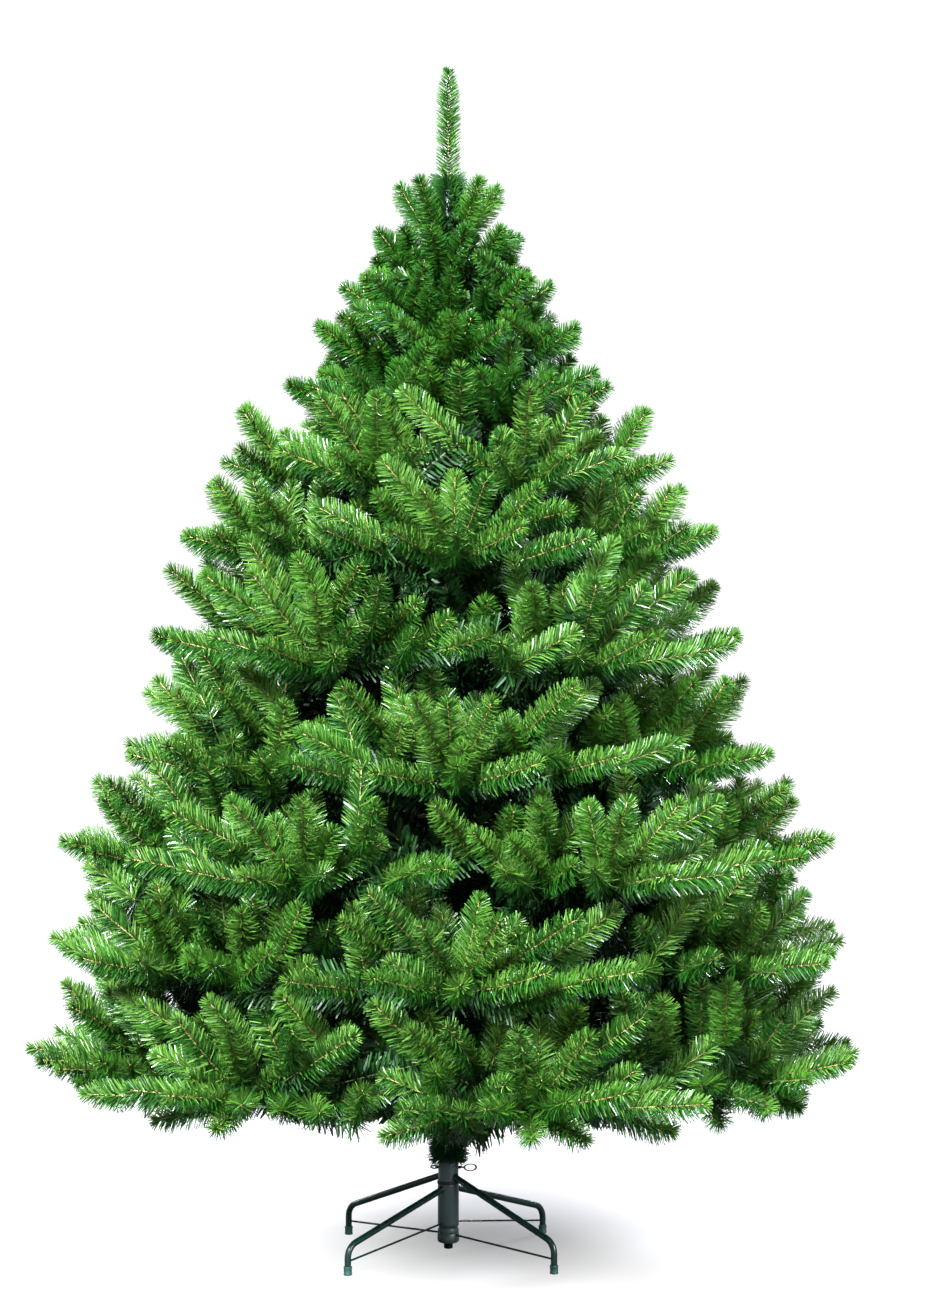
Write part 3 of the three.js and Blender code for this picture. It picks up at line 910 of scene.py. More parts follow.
class Crown:
    """The boughs, twigs, tips and needles."""

    TIP_LENGTH = 0.166
    TIP_RADIUS, WIDEST_TIP, SLIM, BY_GIRTH, BY_LENGTH = 0.0205, 0.027, 0.026, 0.1, 0.02
    BEND, BEND_VARIES = 0.007, 0.012
    FORK_BARE, FORK_SPACING, FORK_REACH = 0.014, 0.046, 0.94
    FORK_LENGTH, FORK_LENGTH_VARIES = 0.148, 0.010
    MARGIN, SKIRT_MARGIN = 0.012, 0.004  # how far above its layer's floor a side tip ends
    LEAST_HAND = 0.12  # the least reach of a layer whose sprays fork
    SMALLEST = 0.55  # a layer's tips are this much of their size, and more by its reach
    DRAWN_IN = (1.0, 0.86, 0.74)  # the lengths that a side tip is tried at
    SHELL = Filling(200, 0.82, 0.95, 0.050, 0.146, 1.0, 0.19, 1400)
    HEART = Filling(190, 0.18, 0.82, 0.071, 0.140, 0.40, 0.14, 3000)
    SKIRT_LOWEST = -0.15  # how far below its own tips the lowest tier is filled
    RISE, RISE_BY_LEVEL, RISE_VARIES, SWING, SWING_BEND = 0.15, 1.2, 0.35, 68, 0.004
    BRANCH_INWARD, BRANCH_START, BRANCH_BARE = 0.05, 0.01, 0.1  # of the twig that bears a tip
    MOST_TIPS = 3000
    # the inner and deep greens are painted shade for the needles inside the crown
    SHADES, DARK, INNER, DEEP = 5, 3, 5, 6  # how many greens are dealt, and the darker ones
    # painted shade: from this height the tips take mostly the dark green and no lighter one
    DUSKY = 1.46  # from this height the dark green takes over
    # painted shade: needles that drop more than this share of their length are mostly dealt the dark
    # green, on the tips' undersides
    LOW, LOW_DARK = 0.25, 0.75  # needles that drop so much of their length, and the dark share
    LIGHT, DULL = 0.3, 0.84  # deals below the first are lighter, and above the second darker
    # shares of the deep green among inner tips and twig sleeves, whose greens are painted shade
    DEEP_SHARE, SLEEVE_DEEP, LEADER_LIGHT = 0.5, 0.5, 0.35
    LARGEST = 170_000
    SIDES = 3  # of wires and twigs
    TWIG, BRANCHING = np.array([0.0022, 0.0018]), np.array([0.0022, 0.0017])
    WIRE, WAIST, WIRE_TIP, OVERLAP = 0.0014, 0.0011, 0.0016, 0.005  # radii of a twisted wire
    LEAST_TWIG, LEAST_COVERED, COVERED_FROM = 0.004, 0.03, 0.012
    ARM_START, ARM_STEP, ARM_SIDES, ARM_RIDGE = 0.017, 0.011, 7, 0.13
    ARM_FOOT, ARM_END, ARM_BARE = 0.0049, 0.0026, 0.2
    LEADER_FOOT, LEADER_RADIUS, LEADER_WIRE = 1.8803, 0.0205, 0.0008
    LEADER_WAYS = ((5, 0.0), (7, 0.6))  # two brushes in one, and how far each is turned
    TOP_SLEEVE, TOP_SLEEVES = (1.60, 1.895), 3

    def __init__(self) -> None:
        """Start with nothing grown."""
        self.needles = Needles()
        self.dice = np.random.default_rng(7)
        self.green: dict[str, Faces] = {}
        self.wires = Faces()
        self.twigs = Faces()
        self.arms = Faces()
        self.taken = np.zeros((2 * self.MOST_TIPS, 3))
        self.tips = 0

    def shades(self, tip: Tip, corners: np.ndarray, deal: np.ndarray) -> np.ndarray:
        """Deal the greens out to a tip's needles, the dark green as painted shade to those that point
        down.

        Args:
            tip: the tip.
            corners: the triangles of its needles.
            deal: the number that deals each one's shade.

        Returns:
            The material of each triangle.
        """
        shade = int(self.dice.integers(0, self.SHADES - 1))
        light = (shade + 1) % self.SHADES
        # painted shade: inner tips take only the inner and deep greens
        if tip.lush < 1:
            return np.where(deal < self.DEEP_SHARE * tip.lush, self.DEEP, self.INNER)
        # painted shade: near the top the tips are dealt mostly the dark green, and no lighter one
        if tip.root[2] > self.DUSKY:
            shade, light = (self.DARK if shade else 0), 0
        # painted shade: needles that point down take the dark green, darkening the tips' undersides
        drop = (corners[::2, 0, 2] - corners[::2, 2, 2]).repeat(2)
        low = (drop > self.LOW * self.needles.LENGTH) & (deal < self.LOW_DARK)
        dealt = [low, deal < self.LIGHT, deal > self.DULL]
        return np.select(dealt, [self.DARK, light, self.DARK], shade)

    def add_tip(self, node: str, tip: Tip) -> None:
        """Grow one tip: its twig, its wire and its needles.

        Args:
            node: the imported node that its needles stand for.
            tip: the tip.
        """
        turn = float(self.dice.uniform(0, 2 * math.pi))
        corners, deal = self.needles.blades(tip, self.tips, turn)
        self.green.setdefault(node, Faces()).add(corners, self.shades(tip, corners, deal))
        if tip.bare > self.LEAST_TWIG:
            along = np.array([0.0, tip.bare + self.LEAST_TWIG])
            self.twigs.add(tube(tip.at(along), self.TWIG, self.SIDES))
        if tip.bare > self.LEAST_COVERED:
            self.cover(node, tip.at(self.COVERED_FROM), tip.at(tip.bare))
        along = np.linspace(tip.bare, tip.wire_end + self.OVERLAP, 7)
        radii = np.full(7, self.WIRE)
        radii[1::2] = self.WAIST
        radii[-1] = self.WIRE_TIP
        self.wires.add(tube(tip.at(along), radii, self.SIDES))
        self.taken[2 * self.tips : 2 * self.tips + 2] = tip.ends()
        self.tips += 1

    def cover(self, node: str, start: np.ndarray, end: np.ndarray) -> None:
        """Cover a twig or stem with its thinner needles.

        Args:
            node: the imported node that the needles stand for.
            start: where they begin.
            end: where they stop.
        """
        turn = float(self.dice.uniform(0, 2 * math.pi))
        corners, deal = self.needles.sleeve(start, end, turn)
        # painted shade: the needles along twigs and stems take only the inner and deep greens
        shades = np.where(deal < self.SLEEVE_DEEP, self.DEEP, self.INNER)
        self.green.setdefault(node, Faces()).add(corners, shades)

    @staticmethod
    def fork(tip: Tip, aside: float, rise: float, back: float, brush: float) -> Tip:
        """Return a side tip that branches off an axial one.

        Args:
            tip: the axial tip.
            aside: the angle to its left or right.
            rise: the angle over it.
            back: how far before the axial tip's brush it branches off.
            brush: the length of its own brush.

        Returns:
            The side tip.
        """
        across, over = square_to(tip.direction)
        aside, rise = math.radians(aside), math.radians(rise)
        level = math.cos(rise) * (math.cos(aside) * tip.direction + math.sin(aside) * across)
        root = tip.at(max(tip.bare - back, 0.0))
        heading = unit(level + math.sin(rise) * over)
        return Tip(root, heading, Crown.FORK_BARE, brush, tip.radius, bend=tip.bend)

    @staticmethod
    def inside(bough: Bough, tip: Tip) -> bool:
        """Say whether a side tip keeps to the crown's outline.

        Args:
            bough: the bough that carries it.
            tip: the side tip.

        Returns:
            True where its end is inside the outline and above its layer's floor.
        """
        end = tip.at(tip.bare + tip.brush)
        distance = math.hypot(end[0], end[1])
        lowest = bough.floor + distance * bough.layer.slope
        margin = Crown.MARGIN if bough.index else Crown.SKIRT_MARGIN
        reach = Crown.FORK_REACH * outline_at(float(end[2]))
        return bool(distance <= reach and end[2] >= lowest + margin)

    @staticmethod
    def axial(bough: Bough, spray: Spray, place: int) -> Tip:
        """Return the tip that carries one spray of the growth rule on to its end.

        Args:
            bough: the bough that carries it.
            spray: the spray.
            place: its place on the bough, which varies it.

        Returns:
            The tip, with its brush on the spray's end.
        """
        whole = spray.twig + spray.length
        brush = min(Crown.TIP_LENGTH, spray.length)
        radius = Crown.TIP_RADIUS + Crown.BY_GIRTH * max(spray.girth - Crown.SLIM, 0)
        radius = min(Crown.WIDEST_TIP, radius + Crown.BY_LENGTH * spray.length)
        bend = Crown.BEND + Crown.BEND_VARIES * bough.vary(100 + place)
        return Tip(spray.root, spray.direction, whole - brush, brush, radius, bend=bend)

    def grow_forks(self, bough: Bough, spray: Spray, place: int) -> None:
        """Carry one spray on to a hand of tips, beside and over its own.

        Args:
            bough: the bough that carries it.
            spray: the spray of the growth rule.
            place: its place on the bough, which varies it.
        """
        if bough.layer.reach < self.LEAST_HAND:
            return
        main = self.axial(bough, spray, place)
        size = min(1.0, self.SMALLEST + bough.layer.reach)
        for i, (aside, rise, back) in enumerate(self.forks_of(bough, spray, place)):
            length = self.FORK_LENGTH_VARIES * bough.vary(240 + 5 * place + i)
            length = (self.FORK_LENGTH + length) * size
            for drawn_in in self.DRAWN_IN:
                tip = self.fork(main, aside, rise, back, length * drawn_in)
                if self.inside(bough, tip) and not self.crowded(tip, self.FORK_SPACING * size):
                    self.add_tip(bough.node, tip)
                    break

    @staticmethod
    def forks_of(bough: Bough, spray: Spray, place: int) -> list[tuple[float, float, float]]:
        """Choose the side tips of a hand.

        Args:
            bough: the bough that carries it.
            spray: the spray that it is carried on from.
            place: its place on the bough.

        Returns:
            For each side tip, its angle aside, its angle over and how far back it forks.
        """

        def about(middle: float, spread: float, choice: int) -> float:
            """Return an angle near a middle one, varied by the bough."""
            return middle + spread * bough.vary(100 * choice + place)

        turned = 1 if bough.vary(800 + place) > 0 else -1
        over = (about(turned * 28, 20, 6), about(60, 12, 7), 0.03)
        if bough.layer.reach < 0.2:
            return [(about(turned * 36, 8, 2), about(6, 10, 3), 0.02)]
        if spray.direction[2] > 0.42:
            return [over, (about(-turned * 36, 10, 2), about(4, 12, 3), 0.05)]
        forks = [
            (about(50, 12, 2), about(24, 18, 3), 0.05),
            (about(-50, 12, 4), about(24, 18, 5), 0.06),
            over,
            (about(-turned * 24, 12, 13), about(62, 14, 14), 0.045),
        ]
        if bough.index == 0:
            forks.append((about(-turned * 20, 12, 9), about(-26, 8, 10), 0.04))
            forks.append((about(turned * 28, 10, 11), about(-34, 6, 12), 0.05))
        return forks

    def grow_stem(self, bough: Bough) -> None:
        """Make a bough's stem, ridged as by a winding of tape, and cover it with thinner needles.

        Args:
            bough: the bough.
        """
        start = self.ARM_START if bough.index < len(TIERS) else bough.start
        end = bough.stem_end
        steps = max(2, int((end - start) / self.ARM_STEP))
        path = np.array([bough.on_stem(distance) for distance in np.linspace(start, end, steps)])
        taper = np.linspace(self.ARM_FOOT, self.ARM_END, steps)
        ridges = 1 + self.ARM_RIDGE * np.where(np.arange(steps) % 2, 1, -1)
        self.arms.add(tube(path, taper * ridges, self.ARM_SIDES))
        covered = start + self.ARM_BARE * (end - start)
        self.cover(bough.node, bough.on_stem(covered), bough.on_stem(end))

    def crowded(self, tip: Tip, spacing: float) -> bool:
        """Say whether a tip's middle or end is near those of a tip that is grown already.

        Args:
            tip: the tip to test.
            spacing: the least distance.

        Returns:
            True where one is nearer than that.
        """
        apart = tip.ends()[:, None, :] - self.taken[None, : 2 * self.tips]
        return bool((apart**2).sum(axis=2).min() < spacing**2)

    def fill(self, bough: Bough, filling: Filling) -> None:
        """Grow further tips from a bough's stem wherever its space is still thin.

        Args:
            bough: the bough.
            filling: where the tips may end, and how far apart they keep.
        """
        layer = bough.layer
        if layer.reach < filling.least_reach:
            return
        size = min(1.0, self.SMALLEST + layer.reach)
        lowest = 0.0 if bough.index else self.SKIRT_LOWEST
        for i in range(filling.tries):
            choices = (bough.vary(filling.choice + 5 * i + k) for k in range(5))
            aside, raised, out, swing, lift = choices
            level = lowest + (1 - lowest) * (raised + 1) / 2
            height = layer.height + layer.slope * layer.reach + level * bough.headroom
            share = filling.nearest + (filling.furthest - filling.nearest) * (out + 1) / 2
            height -= layer.slope * layer.reach * (1 - share)
            distance = share * outline_at(height)
            azimuth = bough.azimuth + bough.half_sector * aside
            end = out_at(azimuth, distance, height)
            rise = self.RISE + self.RISE_BY_LEVEL * level + self.RISE_VARIES * lift
            heading = unit(out_at(azimuth + self.SWING * swing, 1.0, rise))
            brush, radius, bend = filling.brush * size, self.WIDEST_TIP * size, self.SWING_BEND * swing
            tip = Tip(end - brush * heading, heading, 0.0, brush, radius, filling.lush, bend)
            if self.crowded(tip, filling.spacing * size):
                continue
            inward = math.hypot(tip.root[0], tip.root[1]) - self.BRANCH_INWARD
            inward = min(max(inward, bough.start + self.BRANCH_START), bough.stem_end - ROOT_INSET_END)
            foot = bough.on_stem(inward)
            self.twigs.add(tube(np.array([foot, tip.root]), self.BRANCHING, self.SIDES))
            self.cover(bough.node, foot + self.BRANCH_BARE * (tip.root - foot), tip.root)
            self.add_tip(bough.node, tip)

    def grow_leader(self) -> None:
        """Grow the upright tip on the top of the pole."""
        height = TREE_HEIGHT - self.LEADER_FOOT
        tip = Tip(UP * self.LEADER_FOOT, UP, 0.0, height, self.LEADER_RADIUS)
        top = self.green.setdefault("foliage_top", Faces())
        for way, turn in self.LEADER_WAYS:
            corners, deal = self.needles.blades(tip, way, turn)
            # painted shade: most of the leader's needles take the dark green, as the top of the crown
            # does
            top.add(corners, np.where(deal < self.LEADER_LIGHT, 0, self.DARK))
        radii = np.full(5, self.LEADER_WIRE)
        self.wires.add(tube(tip.at(np.linspace(0, tip.wire_end, 5)), radii, 2 * self.SIDES))
        low, high = self.TOP_SLEEVE
        for _ in range(self.TOP_SLEEVES):
            self.cover("foliage_top", UP * low, UP * high)

    def grow(self) -> None:
        """Grow the whole crown."""
        boughs = [bough for index in range(len(LAYERS)) for bough in boughs_of(index)]
        sprays = [
            (bough, spray, place) for bough in boughs for place, spray in enumerate(bough.sprays())
        ]
        for bough in boughs:
            self.grow_stem(bough)
        for bough, spray, place in sprays:
            self.add_tip(bough.node, self.axial(bough, spray, place))
        LOG.info("sprays: %d tips", self.tips)
        for bough, spray, place in sprays:
            self.grow_forks(bough, spray, place)
        LOG.info("with forks: %d tips", self.tips)
        for filling in (self.SHELL, self.HEART):
            for bough in boughs:
                self.fill(bough, filling)
            LOG.info("filled: %d tips", self.tips)
        self.grow_leader()

    def join_needles(self) -> None:
        """Join each layer's needles, with a wide layer split between its boughs."""
        for index, layer in enumerate(LAYERS[: 1 - len(TOP_WHORLS)]):
            batches: list[list[str]] = [[]]
            size = 0
            for node in dict.fromkeys(node_of(index, k) for k in range(layer.count)):
                count = self.green[node].count()
                if size and size + count > self.LARGEST:
                    batches.append([])
                    size = 0
                batches[-1].append(node)
                size += count
            for i, nodes in enumerate(batches):
                faces = Faces()
                for node in nodes:
                    faces.take(self.green[node])
                name = f"needles_layer_{index + 1}_{i + 1}"
                faces.make_piece(name, list(GREENS), Slot.NEEDLES, *nodes)

    def build(self) -> None:
        """Make the crown's pieces."""
        self.grow()
        self.join_needles()
        self.twigs.make_piece("twigs", [TWIG_FILM], Slot.NEEDLES, welded=True)
        self.wires.make_piece("tip_wires", [TIP_WIRE], Slot.NEEDLES, welded=True)
        bare = [f"bough_{k + 1}" for k in range(TIERS[0].count)]
        self.arms.make_piece("bough_arms", [BOUGH_TAPE], Slot.BOUGH, *bare, welded=True)


# ------------------------------------------------------------------ modelling steps


class Bench:
    """Modelling steps that the made parts share."""

    EASED_FROM = 35  # the least angle of an eased edge

    @staticmethod
    def ring(
        radius: float, sides: int, place: Corner, turn: Corner = (0.0, 0.0, 0.0)
    ) -> bpy.types.Object:
        """Start a piece as an open ring, in edit mode with the ring selected.

        Args:
            radius: the ring's radius.
            sides: how many corners it has.
            place: where its middle is.
            turn: its rotation.

        Returns:
            The new object.
        """
        bpy.ops.object.select_all(action="DESELECT")
        bpy.ops.mesh.primitive_circle_add(
            vertices=sides, radius=radius, fill_type="NOTHING", location=place, rotation=turn
        )
        bpy.ops.object.mode_set(mode="EDIT")
        bpy.ops.mesh.select_all(action="SELECT")
        return bpy.context.object

    @staticmethod
    def draw_on(start: Corner, stops: list[tuple[Corner, float]]) -> None:
        """Extrude the selected ring from stop to stop.

        Args:
            start: the ring's middle.
            stops: the middle of each further ring, and its size as a share of the one before.
        """
        for stop, size in stops:
            move = {"value": tuple(np.subtract(stop, start))}
            bpy.ops.mesh.extrude_region_move(TRANSFORM_OT_translate=move)
            if size != 1:
                bpy.ops.transform.resize(value=(size, size, size), center_override=stop)
            start = stop

    @staticmethod
    def close(
        made: bpy.types.Object, edge: float = 0.0, angle: float = 40.0
    ) -> bpy.types.Object:
        """Close a piece's open ends, face it outwards, ease its edges and set its place.

        Args:
            made: the piece, in edit mode.
            edge: the width of the eased edges.
            angle: the sharpest corner, in degrees, that is shaded smooth.

        Returns:
            The piece, at the origin.
        """
        bpy.ops.mesh.select_all(action="SELECT")
        bpy.ops.mesh.remove_doubles(threshold=TINY)
        bpy.ops.mesh.fill_holes(sides=0)
        bpy.ops.mesh.select_all(action="SELECT")
        bpy.ops.mesh.normals_make_consistent(inside=False)
        bpy.ops.object.mode_set(mode="OBJECT")
        bpy.ops.object.transform_apply(location=True, rotation=True, scale=True)
        if edge:
            bevel = made.modifiers.new("eased", "BEVEL")
            bevel.width = edge
            bevel.segments = 2
            bevel.limit_method = "ANGLE"
            bevel.angle_limit = math.radians(Bench.EASED_FROM)
            bpy.ops.object.modifier_apply(modifier=bevel.name)
        bpy.ops.object.shade_smooth_by_angle(angle=math.radians(angle))
        return made

    @staticmethod
    def turned(
        profile: list[tuple[float, float]], sides: int, middle: Corner = (0.0, 0.0, 0.0)
    ) -> bpy.types.Object:
        """Model a turned shape, ring by ring up its profile.

        Args:
            profile: its radius and height at each step.
            sides: how many sides it has.
            middle: where its axis stands.

        Returns:
            The piece, still in edit mode.
        """
        x, y, z = middle
        places = [(x, y, z + height) for _, height in profile]
        radii = [radius for radius, _ in profile]
        made = Bench.ring(radii[0], sides, places[0])
        sizes = [radius / before for before, radius in zip(radii, radii[1:])]
        Bench.draw_on(places[0], list(zip(places[1:], sizes)))
        return made

    @staticmethod
    def dress(
        pieces: list[bpy.types.Object], name: str, finish: Finish, slot: Slot, *nodes: str
    ) -> None:
        """Join pieces into the first one, and give it its name, its finish and its place.

        Args:
            pieces: the pieces, the main one first.
            name: the name of the whole.
            finish: its finish.
            slot: the record's slot that it takes its finish from.
            nodes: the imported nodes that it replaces.
        """
        bpy.ops.object.select_all(action="DESELECT")
        for piece in pieces:
            piece.select_set(True)
        made = pieces[0]
        bpy.context.view_layer.objects.active = made
        if len(pieces) > 1:
            bpy.ops.object.join()
        made.name = made.data.name = name
        made.data.materials.clear()
        made.data.materials.append(finish.material())
        settle(made, slot, *nodes)


# ------------------------------------------------------------------ pole and stand


@dataclass(frozen=True)
class Pole:
    """The pole's tube in three lengths, with a collar for each tier of boughs."""

    SECTIONS = ((0.850, 0.016), (1.400, 0.014), (1.881, 0.011))
    EDGE, FOOT_EDGE = 0.001, 0.0008  # of the chamfers
    BEAD, BEAD_LOW, BEAD_HIGH, NOTCH = 0.0006, 0.006, 0.004, 0.001  # round the joints
    WRAPS = (  # from, up to, how many needles, their rise, their lengths, the first shade
        (0.172, 1.56, 8000, -8, (0.014, 0.026), 0),
        (1.50, 1.89, 4200, 38, (0.020, 0.030), 1),
        (0.167, 0.235, 1800, -10, (0.012, 0.022), 0),
    )
    RISE_VARIES, ASIDE_VARIES, CROWDING = 30, 0.45, 1.2  # they stand closer lower down
    NEEDLE, NEEDLE_END, LIGHTER = 0.0009, 0.6, 0.3  # half width, its share at the end, of each

    foot: float = 0.0303
    top: float = 1.880
    collar_radius: float = 0.023
    collar_height: float = 0.014
    sides: int = 24

    def profile(self) -> list[tuple[float, float]]:
        """Work out the outline.

        Returns:
            The radius and height of each step, from the foot to the top.
        """
        steps = [(tier.height + tier.slope * self.collar_radius, True) for tier in TIERS]
        steps += [(height, False) for height, _ in self.SECTIONS[:-1]]
        radius, edge, wide = self.SECTIONS[0][1], self.EDGE, self.collar_radius
        points = [(radius - self.FOOT_EDGE, self.foot), (radius, self.foot + self.FOOT_EDGE)]
        for height, is_collar in sorted(steps):
            if is_collar:
                low, high = height - self.collar_height / 2, height + self.collar_height / 2
                points += [(radius, low), (wide - edge, low), (wide, low + edge)]
                points += [(wide, high - edge), (wide - edge, high), (radius, high)]
                continue
            bead, narrow = radius + self.BEAD, pole_radius_at(height + self.NOTCH)
            points += [(radius, height - self.BEAD_LOW), (bead, height - self.BEAD_HIGH)]
            points += [(bead, height - self.NOTCH), (radius - self.BEAD, height)]
            points.append((narrow, height))
            radius = narrow
        return points + [(radius, self.top - edge), (radius - edge, self.top)]

    def build(self) -> None:
        """Make the pole and its wrapping of short dark needles."""
        made = Bench.close(Bench.turned(self.profile(), self.sides), edge=0.0003)
        Bench.dress([made], "pole_tube", POLE_PAINT, Slot.POLE, "pole")
        faces = Faces()
        for wrap in self.WRAPS:
            self.wrap(faces, *wrap)
        faces.make_piece("pole_wrap", [WRAP_GREEN, GREENS[3], GREENS[0]], Slot.NEEDLES)

    def wrap(
        self,
        faces: Faces,
        low: float,
        high: float,
        count: int,
        rise: float,
        lengths: tuple[float, float],
        shade: int,
    ) -> None:
        """Lay needles round a part of the pole.

        Args:
            faces: the triangles that they are added to.
            low: where the part starts.
            high: where it stops.
            count: how many needles it takes.
            rise: their usual angle above the level.
            lengths: their least and greatest length.
            shade: the first of the two shades that they are dealt.
        """
        dice = np.random.default_rng(21 + shade)
        height = low + (high - low) * np.linspace(0, 1, count) ** self.CROWDING
        turn = np.arange(count) * GOLDEN_ANGLE
        radius = np.array([pole_radius_at(min(h, self.top)) for h in height])
        radial = np.stack([np.cos(turn), np.sin(turn), np.zeros(count)], axis=1)
        root = radial * radius[:, None] + height[:, None] * UP
        lifted = np.radians(dice.normal(rise, self.RISE_VARIES, count))
        sway = np.stack([-np.sin(turn), np.cos(turn), np.zeros(count)], axis=1)
        aside = dice.normal(0, self.ASIDE_VARIES, count)[:, None]
        pointing = np.cos(lifted)[:, None] * radial + np.sin(lifted)[:, None] * UP + aside * sway
        pointing /= np.linalg.norm(pointing, axis=1)[:, None]
        width = np.cross(pointing, sway) * self.NEEDLE
        point = root + dice.uniform(*lengths, count)[:, None] * pointing
        shades = np.repeat(shade + (dice.uniform(0, 1, count) < self.LIGHTER), 2)
        faces.add(blade_faces(root, point, width, width * self.NEEDLE_END), shades)


@dataclass(frozen=True)
class Socket:
    """The stand's sleeve, with its crimped bands, its nut below and the pole's bore."""

    SLEEVE = [
        (0.0158, 0.0204), (0.0180, 0.0216), (0.0190, 0.0242), (0.0192, 0.0275), (0.0192, 0.0364),
        (0.0188, 0.0370), (0.0176, 0.0372), (0.0176, 0.0380), (0.0182, 0.0384), (0.0184, 0.0400),
        (0.0184, 0.0440), (0.0180, 0.0452), (0.0168, 0.0458), (0.0166, 0.0470), (0.0166, 0.0486),
        (0.0176, 0.0500), (0.0185, 0.0512), (0.0186, 0.0540), (0.0186, 0.1225), (0.0184, 0.1240),
        (0.0179, 0.1250), (0.0179, 0.1262), (0.0186, 0.1268), (0.0186, 0.1290), (0.0179, 0.1296),
        (0.0179, 0.1622), (0.0176, 0.1630), (0.0168, 0.1630), (0.0166, 0.1624), (0.0166, 0.0302),
    ]
    NUT = [(0.0076, 0.0096), (0.0089, 0.0108), (0.0089, 0.0182), (0.0112, 0.0192), (0.0112, 0.0210)]
    THREAD = [(0.0030, 0.0085), (0.0042, 0.0092), (0.0042, 0.0104)]
    BAND = [
        (0.0182, 0.1238), (0.0194, 0.1243), (0.0197, 0.1254),
        (0.0197, 0.1278), (0.0194, 0.1289), (0.0182, 0.1294),
    ]

    sides: int = 32

    def build(self) -> None:
        """Make the sleeve, the nut with the end of its thread, and the band."""
        sleeve = Bench.close(Bench.turned(self.SLEEVE, self.sides))
        Bench.dress([sleeve], "stand_sleeve", SLEEVE_PAINT, Slot.STAND, "stand_socket")
        nut = Bench.close(Bench.turned(self.NUT, 6), edge=0.0004, angle=25)
        thread = Bench.close(Bench.turned(self.THREAD, 16))
        Bench.dress([nut, thread], "stand_nut", DARK_STEEL, Slot.STAND)
        band = Bench.close(Bench.turned(self.BAND, self.sides))
        Bench.dress([band], "stand_band", BLACK_RUBBER, Slot.STAND)


